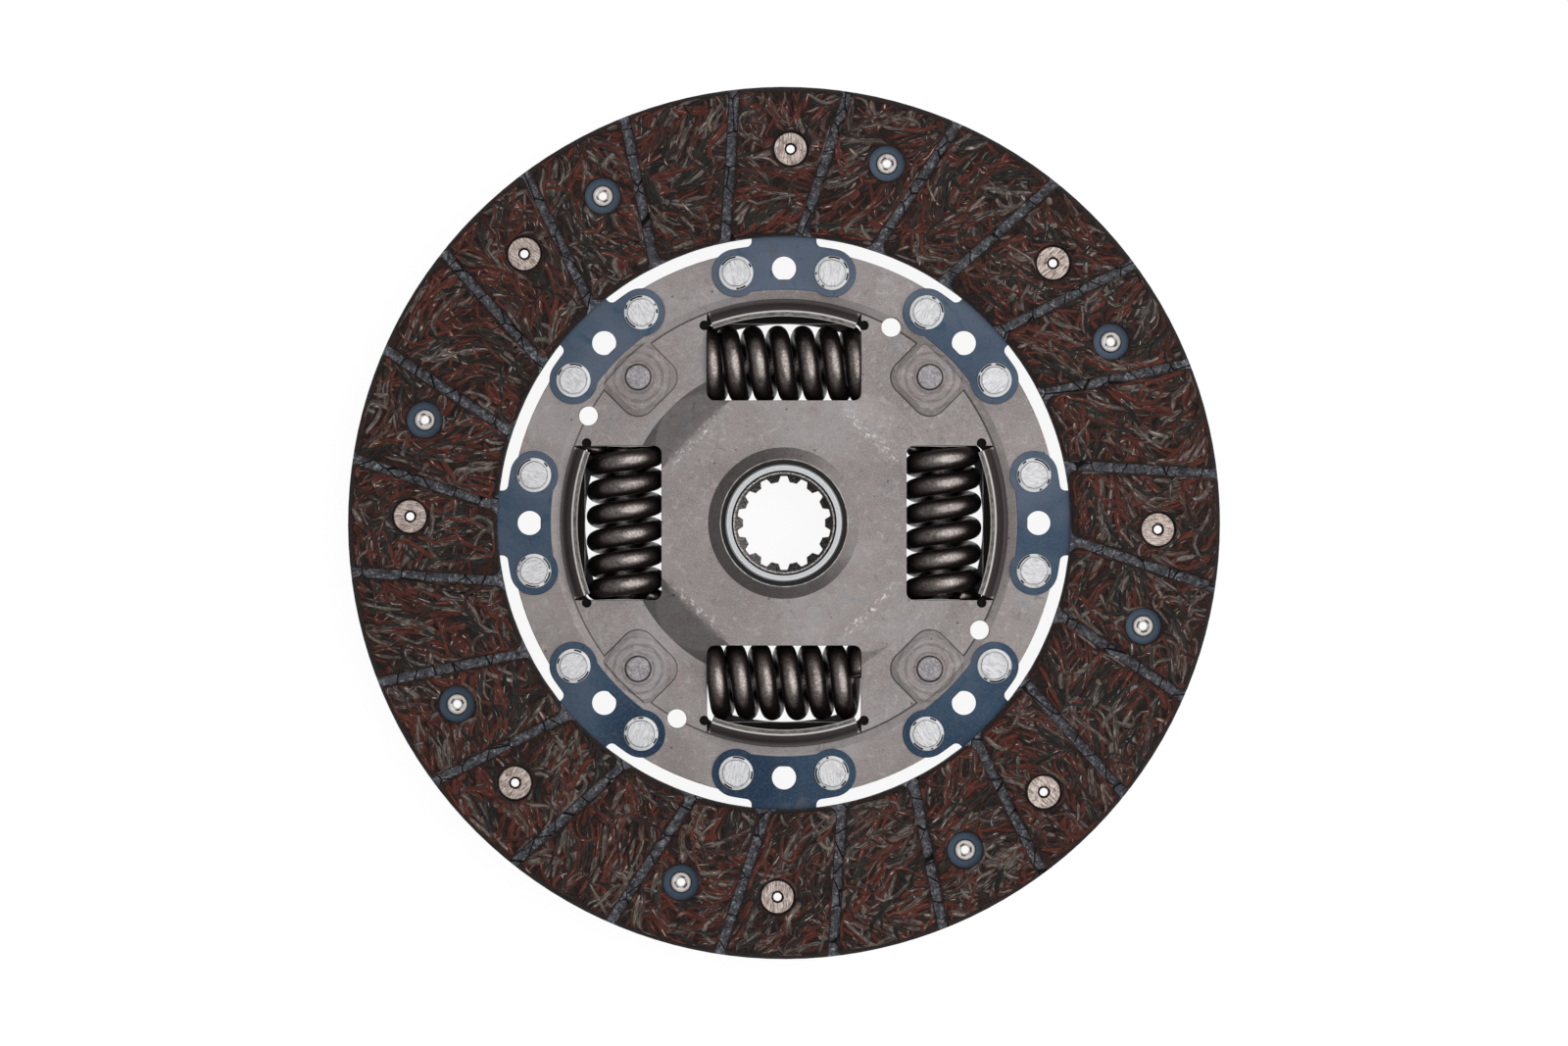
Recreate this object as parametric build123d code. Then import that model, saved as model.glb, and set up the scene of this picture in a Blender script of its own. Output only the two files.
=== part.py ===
from build123d import *
import os
from math import atan, degrees, hypot, radians, tan

# A dry friction clutch disc with a torsion damper, in millimetres.
# The shaft axis is Z, the origin is the middle of the hub's rear end, and +Z is the side that is
# seen in the picture. Angles run anticlockwise seen from the front, from +X.

# Friction facings: one moulding, used on both sides of the disc
facing_diameter = 228.0
facing_bore = 150.0
facing_thickness = 3.5
facing_edge_chamfer = 0.7
groove_count = 24
groove_width = 2.4
groove_depth = 1.3
groove_offset = 19.7          # how far each groove's line passes from the shaft axis
groove_heading = -3.5         # direction of the first groove, degrees
groove_flare = 2.5            # corner radius of the pads where a groove meets the bore
groove_outer_flare = 1.0      # the same where it meets the outer edge

# Rivets that hold the facings: each goes through one facing and a cushion segment
facing_rivet_inset = 16.2     # from the facing's outer edge
front_rivet_angle = -1.0      # from a segment's middle, degrees
rear_rivet_angle = -16.0
rivet_recess_diameter = 9.35
facing_under_head = 1.3
facing_rivet_head = 9.0
facing_rivet_head_height = 0.8
facing_rivet_shank = 4.6
facing_rivet_hollow = 2.15
facing_rivet_countersink = 3.2
facing_rivet_tail = 5.7
facing_rivet_tail_height = 0.9
rivet_edge_round = 0.3

# Cushion segments: waved spring steel between the facings
segment_count = 8
segment_thickness = 0.7
wave_height = 0.8
wave_bend = 5.0               # length of a slope between a crest and a trough
wave_bend_radius = 6.0
crest_length = 18.5
blade_outer_inset = 2.5       # how far a blade's ends lie inside the facing's edges
blade_inner_inset = 2.0
blade_half_span = 19.5        # degrees
blade_corner = 3.0
neck_width = 17.0
neck_fillet = 1.5
foot_outer_diameter = 145.8
foot_inner_diameter = 122.2
foot_lobe_diameter = 12.6
foot_lobe_angle = 10.85
foot_eye_diameter = 6.3

# Rivets that hold the segments to the carrier plate
segment_rivet_circle = 133.2
segment_rivet_shank = 6.0
segment_rivet_head = 8.95
segment_rivet_flat = 7.35
segment_rivet_head_height = 1.7
segment_rivet_tail = 8.4
segment_rivet_tail_height = 1.4

# Damper plates: the carrier in front holds the segments, the retainer closes the damper behind
plate_thickness = 1.8
carrier_diameter = 143.4
ring_step = 1.3               # how far the plate drops inside its riveted ring
step_outer_diameter = 121.4
step_inner_diameter = 116.6
retainer_diameter = 128.0
crown_base_diameter = 84.6
crown_top_diameter = 70.8
crown_flat_width = 65.4       # across the four diagonal flats at the crown's top
carrier_crown_height = 2.1
retainer_crown_height = 3.4
collar_outer_diameter = 39.7
collar_rim_diameter = 33.6
collar_bore = 33.0
collar_height = 1.5
pad_width = 17.6
pad_inner_reach = 8.8         # from a stop pin's axis to its pad's inner edge
pad_corner = 5.0
pad_slope = 1.6

# Windows for the damper springs, with a bent lip that keeps each spring in
window_count = 4
window_width = 40.4
window_inner_cover = 0.85     # how far the straight inner edge reaches over the spring
window_outer_gap = 3.95       # from the spring to the rounded outer edge
window_corner = 2.0
lip_root_gap = 1.7            # from the window's outer edge to the root of its lip
lip_height = 3.5
carrier_lip_lean = 26.0       # degrees inward from upright
retainer_lip_lean = 44.0
lip_half_span = 20.0          # degrees
lip_slot = 0.9                # cut at each end of a lip
lip_inside_bend = 0.8
relief_hole_diameter = 2.46
relief_hole_angle = 22.0
tooling_hole_diameter = 5.1
tooling_hole_radius = 58.5
tooling_hole_angle = 61.3

# Damper springs
spring_circle_radius = 41.55
spring_diameter = 20.6
spring_wire = 5.4
spring_pitch = 6.55
spring_end_gap = 0.05         # between a spring and each end of its window
spring_end_bevel = 1.5        # ground off the corners of each end
spring_sweep_turns = 8
spring_turns_about_axis = (68.0, 242.0, 93.0, 169.0)   # how each spring happens to lie, degrees

# Hub: splined barrel and the flange that drives the springs
hub_length = 23.0
hub_nose = 3.0                # how far the barrel stands in front of the carrier's ring
barrel_diameter = 30.9
spline_teeth = 14
spline_turn = 90.0            # direction of the middle of one space
spline_major_diameter = 24.6
spline_minor_diameter = 21.6
spline_space_bottom = 1.8
spline_space_mouth = 2.85
spline_space_corner = 0.35
hub_mouth_diameter = 27.4     # where the lead-in chamfer meets the end faces
hub_recess_diameter = 25.8    # plain stretch between the chamfer and the ends of the teeth
hub_recess_depth = 1.8
tooth_end_angle = 25.0        # slope of the ends of the teeth, degrees
barrel_edge_chamfer = 0.4
flange_thickness = 6.0
flange_gap = 0.15             # between the flange and each plate
flange_window_inner_gap = 0.25    # between a spring and the flange's window
flange_window_outer_gap = 0.35
flange_rim = 6.6              # outside each spring window
flange_waist = 3.5            # how far the flange draws in between the windows
flange_lobe_half_span = 24.5
flange_root_fillet = 0.6

# Stop pins: they join the two plates and limit the twist in the flange's notches
stop_pin_inset = 1.3          # how far a pin's axis lies inside the flange's edge
stop_pin_body = 9.0
stop_pin_tenon = 5.2
stop_pin_head = 7.0
stop_pin_head_height = 1.1
stop_notch_width = 17.0
stop_notch_clearance = 0.4
stop_notch_corner = 2.0

# Friction pack in the crowns of the two plates
bush_diameter = 60.0
bush_running_clearance = 0.05
bush_sleeve_below_rim = 0.4
bush_chamfer = 1.0
rear_pack_bore = 34.6
rear_pack_diameter = 58.0
friction_washer_thickness = 1.2
thrust_washer_thickness = 0.8
cone_spring_thickness = 0.6
retainer_bore = 35.0

fit_clearance = 0.05          # round a rivet or pin in its hole, and between stacked flat parts
through = 60.0                # longer than any thickness that is cut through

# Heights along the shaft, all from the front of the carrier's riveted ring
ring_front = hub_length - hub_nose
ring_back = ring_front - plate_thickness
segment_front = ring_front + segment_thickness
trough_back = ring_front - wave_height
web_front = ring_front - ring_step
web_back = web_front - plate_thickness
flange_front = web_back - flange_gap
flange_back = flange_front - flange_thickness
flange_middle = (flange_front + flange_back) / 2
crown_front = web_front + carrier_crown_height
crown_back = crown_front - plate_thickness
rim_front = crown_front + collar_height
retainer_front = flange_back - flange_gap
retainer_back = retainer_front - plate_thickness
retainer_crown_front = retainer_front - retainer_crown_height

facing_seat_radius = facing_diameter / 2 - facing_rivet_inset
blade_outer_radius = facing_diameter / 2 - blade_outer_inset
blade_inner_radius = facing_bore / 2 + blade_inner_inset
spring_inner_side = spring_circle_radius - spring_diameter / 2
spring_outer_side = spring_circle_radius + spring_diameter / 2
spring_length = window_width - 2 * spring_end_gap
window_inner = spring_inner_side + window_inner_cover
window_outer_radius = spring_outer_side + window_outer_gap
lip_root_radius = window_outer_radius + lip_root_gap
flange_window_inner = spring_inner_side - flange_window_inner_gap
flange_window_outer = spring_outer_side + flange_window_outer_gap
flange_lobe_radius = flange_window_outer + flange_rim
flange_radius = flange_lobe_radius - flange_waist
stop_pin_radius = flange_radius - stop_pin_inset
pad_inner_radius = stop_pin_radius - pad_inner_reach
segment_angles = [360 / segment_count * i for i in range(segment_count)]
window_angles = [360 / window_count * i for i in range(window_count)]
pad_angles = [angle + 180 / window_count for angle in window_angles]


def at(radius, angle, height=0):
    """A place at this radius and angle about the shaft."""
    return Rot(0, 0, angle) * Pos(radius, 0, height)


def turned(points):
    """A solid of revolution about the shaft from (radius, height) points."""
    return revolve(Plane.XZ * make_face(Polyline(*points, close=True)), Axis.Z)


def prism(sketch, low, high):
    """A flat outline drawn out from one height to another."""
    return extrude(Pos(0, 0, low) * sketch, high - low, dir=(0, 0, 1))


def drilled(diameter, places):
    """Round through holes at these places."""
    return [place * Cylinder(diameter / 2, through) for place in places]


def sector(radius, half_angle):
    """A wedge about +X, reaching past this radius."""
    reach = 2 * radius
    side = reach * tan(radians(half_angle))
    return make_face(Polyline((0, 0), (reach, -side), (reach, side), close=True))


def facing_moulding():
    """One friction facing, lying with its back on the XY plane."""
    bore_radius = facing_bore / 2
    blank = prism(Circle(facing_diameter / 2) - Circle(bore_radius), 0, facing_thickness)
    rims = blank.edges().filter_by(GeomType.CIRCLE).group_by(Axis.Z)[-1]
    blank = chamfer(rims, facing_edge_chamfer)

    strip_start = bore_radius - 2 * groove_flare
    strip_end = facing_diameter / 2 + groove_width
    strip = Rectangle(strip_end - strip_start, groove_width)
    strip = Pos((strip_start + strip_end) / 2, groove_offset) * strip
    grooves = Circle(bore_radius)
    for i in range(groove_count):
        grooves += Rot(0, 0, groove_heading + 360 / groove_count * i) * strip
    mouths = [v for v in grooves.vertices() if hypot(v.X, v.Y) < bore_radius + groove_width]
    grooves = fillet(mouths, groove_flare)
    outer_radius = facing_diameter / 2
    grooves += Circle(outer_radius + 2 * groove_width) - Circle(outer_radius)
    ends = [v for v in grooves.vertices() if abs(hypot(v.X, v.Y) - outer_radius) < fit_clearance]
    grooves = fillet(ends, groove_outer_flare)
    body = blank - prism(grooves, facing_thickness - groove_depth, facing_thickness + groove_depth)

    rivet_places = [at(facing_seat_radius, angle + front_rivet_angle) for angle in segment_angles]
    tail_places = [at(facing_seat_radius, angle + rear_rivet_angle) for angle in segment_angles]
    recess = prism(Circle(rivet_recess_diameter / 2), facing_under_head, facing_thickness + groove_depth)
    body -= [place * recess for place in rivet_places]
    body -= drilled(facing_rivet_shank + 2 * fit_clearance, rivet_places)
    body -= drilled(rivet_recess_diameter, tail_places)
    return body


def turned_over(solid):
    """The same moulding with its other side up, so that its rivet holes and recesses change places."""
    fold = (front_rivet_angle + rear_rivet_angle) / 2
    return Rot(0, 0, fold) * Rot(180, 0, 0) * Rot(0, 0, -fold) * solid


def facing_rivet():
    """A tubular rivet with the underside of its head at height 0 and its rolled end below."""
    grip = facing_under_head + segment_thickness
    hollow = facing_rivet_hollow / 2
    countersink = facing_rivet_countersink / 2
    head = facing_rivet_head / 2
    shank = facing_rivet_shank / 2
    tail = facing_rivet_tail / 2
    top = facing_rivet_head_height
    tail_end = -grip - facing_rivet_tail_height
    roll = facing_rivet_tail_height / 2
    section = make_face(
        Polyline(
            (hollow, tail_end + roll), (hollow, top - countersink + hollow), (countersink, top),
            (head - rivet_edge_round, top), (head, top - rivet_edge_round), (head, 0),
            (shank, 0), (shank, -grip), (tail, -grip), (tail, -grip - roll),
        )
        + RadiusArc((tail, -grip - roll), (hollow, tail_end + roll), (tail - hollow) / 2 + roll / 2)
    )
    return revolve(Plane.XZ * section, Axis.Z)


def segment_rivet():
    """A solid rivet with its flat-topped head on a segment foot and its set end behind the plate."""
    head = segment_rivet_head / 2
    flat = segment_rivet_flat / 2
    shank = segment_rivet_shank / 2
    tail = segment_rivet_tail / 2
    bevel = head - flat
    head_top = segment_front + segment_rivet_head_height
    tail_end = ring_back - segment_rivet_tail_height
    return turned([
        (0, tail_end), (tail - bevel, tail_end), (tail, tail_end + bevel), (tail, ring_back),
        (shank, ring_back), (shank, segment_front), (head, segment_front),
        (head, head_top - bevel), (flat, head_top), (0, head_top),
    ])


def cushion_segment():
    """One waved blade with its foot, for the segment whose middle lies on +X."""
    blade_middle = (front_rivet_angle + rear_rivet_angle) / 2
    front = segment_front
    dip = segment_front - wave_height
    reach = blade_outer_radius
    near = wave_bend / 2
    far = near + crest_length
    wave = Polyline(
        (-reach, front), (-far - wave_bend, front), (-far, dip), (-near, dip),
        (near, front), (far, front), (far + wave_bend, dip), (reach, dip),
        (reach, dip - segment_thickness), (far + wave_bend, dip - segment_thickness),
        (far, front - segment_thickness), (near, front - segment_thickness),
        (-near, dip - segment_thickness), (-far, dip - segment_thickness),
        (-far - wave_bend, front - segment_thickness), (-reach, front - segment_thickness),
        close=True,
    )
    section = make_face(wave)
    bends = [v for v in section.vertices() if abs(v.X) < reach - wave_bend]
    section = fillet(bends, wave_bend_radius)
    sheet = extrude(Plane.YZ * section, reach, dir=(1, 0, 0))

    blade_plan = Circle(reach) - Circle(blade_inner_radius)
    blade_plan &= sector(reach, blade_half_span)
    blade_plan = fillet(blade_plan.vertices(), blade_corner)
    blade = Rot(0, 0, blade_middle) * (sheet & prism(blade_plan, 0, hub_length))

    foot_plan = Circle(foot_outer_diameter / 2) - Circle(foot_inner_diameter / 2)
    foot_plan &= sector(foot_outer_diameter / 2, foot_lobe_angle)
    neck_end = blade_inner_radius + blade_corner
    neck_start = foot_inner_diameter / 2 + neck_fillet
    foot_plan += Pos((neck_start + neck_end) / 2, 0) * Rectangle(neck_end - neck_start, neck_width)
    foot_edge = foot_outer_diameter / 2
    neck_roots = [
        v for v in foot_plan.vertices()
        if abs(abs(v.Y) - neck_width / 2) < neck_fillet and abs(hypot(v.X, v.Y) - foot_edge) < neck_fillet
    ]
    foot_plan = fillet(neck_roots, neck_fillet)
    lobe_places = [at(segment_rivet_circle / 2, side * foot_lobe_angle) for side in (-1, 1)]
    for place in lobe_places:
        foot_plan += place * Circle(foot_lobe_diameter / 2)
    foot = prism(foot_plan, ring_front, segment_front)

    segment = blade + foot
    segment -= drilled(segment_rivet_shank + 2 * fit_clearance, lobe_places)
    segment -= drilled(foot_eye_diameter, [at(segment_rivet_circle / 2, 0)])
    blade_rivets = [at(facing_seat_radius, angle) for angle in (front_rivet_angle, rear_rivet_angle)]
    segment -= drilled(facing_rivet_shank + 2 * fit_clearance, blade_rivets)
    return segment


def crown(bore_diameter, outer_diameter, height, collar, margin):
    """The space under a pressed plate's front face, down to well behind it, from the axis outward.

    margin widens the rim and narrows the bore, so that one such space cut from another leaves a sheet.
    """
    base = crown_base_diameter / 2
    top = crown_top_diameter / 2
    outline = [(bore_diameter / 2 - margin, web_front - through)]
    if collar:
        outline.append((bore_diameter / 2 - margin, web_front + height + collar_height))
        outline.append((collar_rim_diameter / 2, web_front + height + collar_height))
        outline.append((collar_outer_diameter / 2, web_front + height))
    else:
        outline.append((bore_diameter / 2 - margin, web_front + height))
    outline.append((top, web_front + height))
    outline.append((base, web_front))
    if collar:
        outline.append((step_inner_diameter / 2, web_front))
        outline.append((step_outer_diameter / 2, ring_front))
        outline.append((outer_diameter / 2 + margin, ring_front))
    else:
        outline.append((outer_diameter / 2 + margin, web_front))
    outline.append((outer_diameter / 2 + margin, web_front - through))
    return turned(outline)


def crown_flats(height):
    """The four wedges that cut diagonal flats on a crown's sloping side."""
    base = crown_base_diameter / 2
    top = crown_flat_width / 2
    rise = height + collar_height
    slope = (base - top) / height
    wedge = Polyline(
        (base, web_front), (base - slope * rise, web_front + rise), (base, web_front + rise), close=True
    )
    block = extrude(Plane.XZ * make_face(wedge), crown_top_diameter / 2, both=True)
    return [Rot(0, 0, angle) * block for angle in pad_angles]


def raised_pads():
    """Four pads level with the riveted ring, one round each stop pin."""
    length = step_outer_diameter / 2 - pad_inner_radius
    corners_in = RectangleRounded(2 * length, pad_width, pad_corner)
    pad = extrude(corners_in, ring_step, dir=(0, 0, 1), taper=degrees(atan(pad_slope / ring_step)))
    limit = Cylinder((step_outer_diameter + step_inner_diameter) / 4, through)
    pads = []
    for angle in pad_angles:
        placed = at(pad_inner_radius + length, angle, web_front) * pad
        pads.append(placed & limit)
    return pads


def spring_window():
    """What is cut from a plate for one spring, its lip and the relief holes, on +X."""
    width = window_width
    reach = window_outer_radius
    opening = Pos(window_inner + reach / 2, 0) * RectangleRounded(reach, width, window_corner)
    opening &= Circle(reach)
    slot_half_span = lip_half_span + degrees(lip_slot / lip_root_radius)
    slot = sector(lip_root_radius, slot_half_span) & Circle(lip_root_radius + lip_inside_bend)
    slot -= Circle(spring_outer_side)
    slot &= Rectangle(3 * reach, width)
    window = opening + slot
    for side in (-1, 1):
        window += Rot(0, 0, side * relief_hole_angle) * Pos(reach, 0) * Circle(relief_hole_diameter / 2)
    return prism(window, web_front - through / 2, web_front + through / 2)


def spring_lip(lean_angle):
    """The bent lip at the outer side of a window on +X."""
    lean = tan(radians(lean_angle))
    top = web_front + lip_height
    outer_top = lip_root_radius - lip_height * lean
    inner_top = outer_top - plate_thickness
    inner_root = inner_top + (lip_height + plate_thickness) * lean
    anchor = lip_root_radius + 2 * lip_inside_bend
    section = make_face(Polyline(
        (anchor, web_front), (lip_root_radius, web_front), (outer_top, top),
        (inner_top, top), (inner_root, web_back), (anchor, web_back), close=True,
    ))
    inside = [v for v in section.vertices() if abs(v.X - lip_root_radius) < fit_clearance]
    section = fillet(inside, lip_inside_bend)
    outside = [v for v in section.vertices() if abs(v.X - inner_root) < fit_clearance]
    section = fillet(outside, lip_inside_bend + plate_thickness / 2)
    lip = revolve(Plane.XZ * section, Axis.Z, revolution_arc=2 * lip_half_span)
    return Rot(0, 0, -lip_half_span) * lip


def damper_plate(bore_diameter, outer_diameter, height, lip_lean, is_carrier):
    """A pressed plate with its crown, spring windows and lips, drawn at the carrier's place."""
    front = crown(bore_diameter, outer_diameter, height, is_carrier, 0)
    back = crown(bore_diameter, outer_diameter, height, is_carrier, plate_thickness)
    flats = crown_flats(height)
    front -= flats
    back -= flats
    if is_carrier:
        pads = raised_pads()
        front += pads
        back += pads
    plate = front - Pos(0, 0, -plate_thickness) * back
    window = spring_window()
    lip = spring_lip(lip_lean)
    plate -= [Rot(0, 0, angle) * window for angle in window_angles]
    plate += [Rot(0, 0, angle) * lip for angle in window_angles]
    tooling = [at(tooling_hole_radius, angle + tooling_hole_angle) for angle in window_angles]
    plate -= drilled(tooling_hole_diameter, tooling)
    pins = [at(stop_pin_radius, angle) for angle in pad_angles]
    plate -= drilled(stop_pin_tenon + 2 * fit_clearance, pins)
    return plate


def carrier_plate():
    """The front damper plate, with the ring that the segments are riveted to."""
    height = carrier_crown_height
    plate = damper_plate(collar_bore, carrier_diameter, height, carrier_lip_lean, True)
    eyes = [at(segment_rivet_circle / 2, angle) for angle in segment_angles]
    plate -= drilled(foot_eye_diameter, eyes)
    for side in (-1, 1):
        rivets = [at(segment_rivet_circle / 2, angle + side * foot_lobe_angle) for angle in segment_angles]
        plate -= drilled(segment_rivet_shank + 2 * fit_clearance, rivets)
    return plate


def retainer_plate():
    """The rear damper plate, a mirror image behind the hub flange."""
    height = retainer_crown_height
    plate = damper_plate(retainer_bore, retainer_diameter, height, retainer_lip_lean, False)
    return mirror(plate, about=Plane.XY.offset(flange_middle))


def spline_bore():
    """The hub's bore with its ring of straight-sided spline spaces, as a cutter."""
    minor = spline_minor_diameter / 2
    major = spline_major_diameter / 2
    inside = minor - spline_space_corner
    flare = (spline_space_mouth - spline_space_bottom) / (major - minor) / 2
    mouth = spline_space_mouth / 2 + flare * spline_space_corner
    foot = spline_space_bottom / 2
    space = make_face(Polyline((inside, -mouth), (major, -foot), (major, foot), (inside, mouth), close=True))
    corners = [v for v in space.vertices() if v.X > minor]
    space = fillet(corners, spline_space_corner)
    bore = Circle(minor)
    for i in range(spline_teeth):
        bore += Rot(0, 0, spline_turn + 360 / spline_teeth * i) * space
    return prism(bore, -flange_thickness, hub_length + flange_thickness)


def flange_plan():
    """The outline of the hub flange, with its spring windows and stop notches."""
    plan = Circle(flange_radius)
    lobe = sector(flange_lobe_radius, flange_lobe_half_span) & Circle(flange_lobe_radius)
    window_length = flange_window_outer - flange_window_inner
    window_place = Pos((flange_window_outer + flange_window_inner) / 2, 0)
    window = window_place * RectangleRounded(window_length, window_width, window_corner)
    for angle in window_angles:
        plan += Rot(0, 0, angle) * lobe
    notch_floor = stop_pin_radius - stop_pin_body / 2 - stop_notch_clearance
    notch_length = 2 * (flange_radius - notch_floor)
    notch = Pos(notch_floor + notch_length / 2, 0)
    notch *= RectangleRounded(notch_length, stop_notch_width, stop_notch_corner)
    for window_angle, pad_angle in zip(window_angles, pad_angles):
        plan -= Rot(0, 0, window_angle) * window
        plan -= Rot(0, 0, pad_angle) * notch
    return plan


def hub():
    """The splined barrel with its flange."""
    barrel = barrel_diameter / 2
    mouth = hub_mouth_diameter / 2
    recess = hub_recess_diameter / 2
    edge = barrel_edge_chamfer
    body = turned([
        (0, 0), (barrel - edge, 0), (barrel, edge),
        (barrel, hub_length - edge), (barrel - edge, hub_length), (0, hub_length),
    ])
    body += prism(flange_plan(), flange_back, flange_front)
    roots = [
        e for e in body.edges().filter_by(GeomType.CIRCLE)
        if abs(e.radius - barrel) < fit_clearance and flange_back - edge < e.center().Z < flange_front + edge
    ]
    body = fillet(roots, flange_root_fillet)
    body -= spline_bore()
    lead_in = turned([
        (0, -edge), (mouth + edge, -edge), (recess, mouth - recess), (recess, hub_recess_depth),
        (0, hub_recess_depth + recess * tan(radians(tooth_end_angle))),
    ])
    body -= lead_in
    body -= Pos(0, 0, hub_length) * Rot(180, 0, 0) * lead_in
    return body


def stop_pin():
    """A shouldered pin riveted over at both plates."""
    tenon = stop_pin_tenon / 2
    head = stop_pin_head / 2
    body = stop_pin_body / 2
    front = ring_front + stop_pin_head_height
    back = retainer_back - stop_pin_head_height
    bevel = (head - tenon) / 2
    return turned([
        (0, back), (head - bevel, back), (head, back + bevel), (head, retainer_back),
        (tenon, retainer_back), (tenon, retainer_front), (body, retainer_front),
        (body, ring_back), (tenon, ring_back), (tenon, ring_front), (head, ring_front),
        (head, front - bevel), (head - bevel, front), (0, front),
    ])


def damper_spring(turn):
    """A right-handed compression spring with ground ends, for the window on +X."""
    swept_length = spring_sweep_turns * spring_pitch
    path = Helix(spring_pitch, swept_length, (spring_diameter - spring_wire) / 2)
    section = Plane(origin=path @ 0, z_dir=path % 0) * Circle(spring_wire / 2)
    coil = Pos(0, 0, -swept_length / 2) * sweep(section, path=path, is_frenet=True)
    ground = Cylinder(spring_diameter / 2 + fit_clearance, spring_length)
    ground = chamfer(ground.edges().filter_by(GeomType.CIRCLE), spring_end_bevel)
    coil = (Rot(0, 0, turn) * coil) & ground
    return Pos(spring_circle_radius, 0, flange_middle) * Rot(-90, 0, 0) * coil


def front_friction_bush():
    """The plastic bush that centres the hub in the carrier and rubs on the flange."""
    inner = barrel_diameter / 2 + bush_running_clearance
    sleeve = collar_bore / 2 - fit_clearance
    top = rim_front - bush_sleeve_below_rim
    face = crown_back - fit_clearance
    rub = flange_front + fit_clearance
    return turned([
        (inner + bush_chamfer, rub), (bush_diameter / 2, rub), (bush_diameter / 2, face),
        (sleeve, face), (sleeve, top), (inner, top), (inner, rub + bush_chamfer),
    ])


def flat_washer(high, thickness):
    """A flat ring of the rear friction pack with its front face at this height."""
    ring = Circle(rear_pack_diameter / 2) - Circle(rear_pack_bore / 2)
    return prism(ring, high - thickness, high)


def cone_spring(high, low):
    """The coned spring washer that loads the friction pack."""
    inner = rear_pack_bore / 2
    outer = rear_pack_diameter / 2
    return turned([
        (inner, high), (inner, high - cone_spring_thickness),
        (outer, low), (outer, low + cone_spring_thickness),
    ])


def ring_of(solid, angles):
    """Copies of a solid about the shaft, as one group."""
    return Compound(children=[Rot(0, 0, angle) * solid for angle in angles])


parts = {}

facing = facing_moulding()
parts["front_facing"] = Pos(0, 0, segment_front) * facing
parts["rear_facing"] = Pos(0, 0, trough_back) * turned_over(facing)

segment = cushion_segment()
for number, angle in enumerate(segment_angles, start=1):
    parts[f"cushion_segment_{number}"] = Rot(0, 0, angle) * segment

rivet = facing_rivet()
front_seat = at(facing_seat_radius, front_rivet_angle, segment_front + facing_under_head)
rear_seat = at(facing_seat_radius, rear_rivet_angle, trough_back - facing_under_head)
parts["front_facing_rivets"] = ring_of(front_seat * rivet, segment_angles)
parts["rear_facing_rivets"] = ring_of(rear_seat * Rot(180, 0, 0) * rivet, segment_angles)
foot_rivet_angles = [angle + side * foot_lobe_angle for angle in segment_angles for side in (-1, 1)]
parts["segment_rivets"] = ring_of(Pos(segment_rivet_circle / 2, 0, 0) * segment_rivet(), foot_rivet_angles)

parts["carrier_plate"] = carrier_plate()
parts["retainer_plate"] = retainer_plate()
parts["hub"] = hub()

for number, angle in enumerate(pad_angles, start=1):
    parts[f"stop_pin_{number}"] = at(stop_pin_radius, angle) * stop_pin()
for number, angle in enumerate(window_angles, start=1):
    spring = damper_spring(spring_turns_about_axis[number - 1])
    parts[f"damper_spring_{number}"] = Rot(0, 0, angle) * spring

parts["front_friction_bush"] = front_friction_bush()
friction_front = flange_back - fit_clearance
thrust_front = friction_front - friction_washer_thickness - fit_clearance
cone_front = thrust_front - thrust_washer_thickness - fit_clearance
parts["rear_friction_washer"] = flat_washer(friction_front, friction_washer_thickness)
parts["thrust_washer"] = flat_washer(thrust_front, thrust_washer_thickness)
parts["cone_spring"] = cone_spring(cone_front, retainer_crown_front + fit_clearance)

os.makedirs("parts", exist_ok=True)
for name, shape in parts.items():
    export_step(shape, f"parts/{name}.step")
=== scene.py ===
import math

import bpy
import numpy as np
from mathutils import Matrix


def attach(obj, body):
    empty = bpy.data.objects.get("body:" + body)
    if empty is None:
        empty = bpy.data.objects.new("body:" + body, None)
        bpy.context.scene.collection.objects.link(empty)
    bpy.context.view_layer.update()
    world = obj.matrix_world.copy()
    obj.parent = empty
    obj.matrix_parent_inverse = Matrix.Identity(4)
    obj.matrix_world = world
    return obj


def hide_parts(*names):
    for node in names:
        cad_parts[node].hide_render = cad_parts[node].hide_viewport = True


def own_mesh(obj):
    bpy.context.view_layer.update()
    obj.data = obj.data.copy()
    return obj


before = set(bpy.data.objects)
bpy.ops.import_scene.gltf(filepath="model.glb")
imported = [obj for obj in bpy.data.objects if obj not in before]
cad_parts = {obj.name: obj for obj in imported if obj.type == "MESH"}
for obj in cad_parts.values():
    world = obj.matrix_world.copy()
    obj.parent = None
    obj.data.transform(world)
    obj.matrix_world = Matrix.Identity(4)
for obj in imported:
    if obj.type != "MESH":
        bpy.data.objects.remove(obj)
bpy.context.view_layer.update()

MM = 0.001

# Sizes repeated from the CAD model, in millimetres and degrees
FRONT_FACE = 24.2
REAR_FACE = 15.7
FACING_MIDDLE = (FRONT_FACE + REAR_FACE) / 2
DAMPER_MIDDLE = 13.75
FACING_RADIUS = 114.0
FACING_BORE_RADIUS = 75.0
GROOVES = 24
GROOVE_HALF_WIDTH = 1.2
GROOVE_OFFSET = 19.7
GROOVE_HEADING = -3.5
GROOVE_FLARE = 2.5
GROOVE_OUTER_FLARE = 1.0
RIVET_CIRCLE_RADIUS = 97.8
RIVETS_A_SIDE = 8
RECESS_RADIUS = 4.675
HEAD_ANGLE = -1.0
TAIL_ANGLE = -16.0
FOOT_RIVET_RADIUS = 66.6
FOOT_RIVET_ANGLE = 10.85
SEGMENTS = 8
CROWN_FLAT_RADIUS = 32.7
COLLAR_RIM_RADIUS = 16.8
STOP_PIN_RADIUS = 54.0
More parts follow.
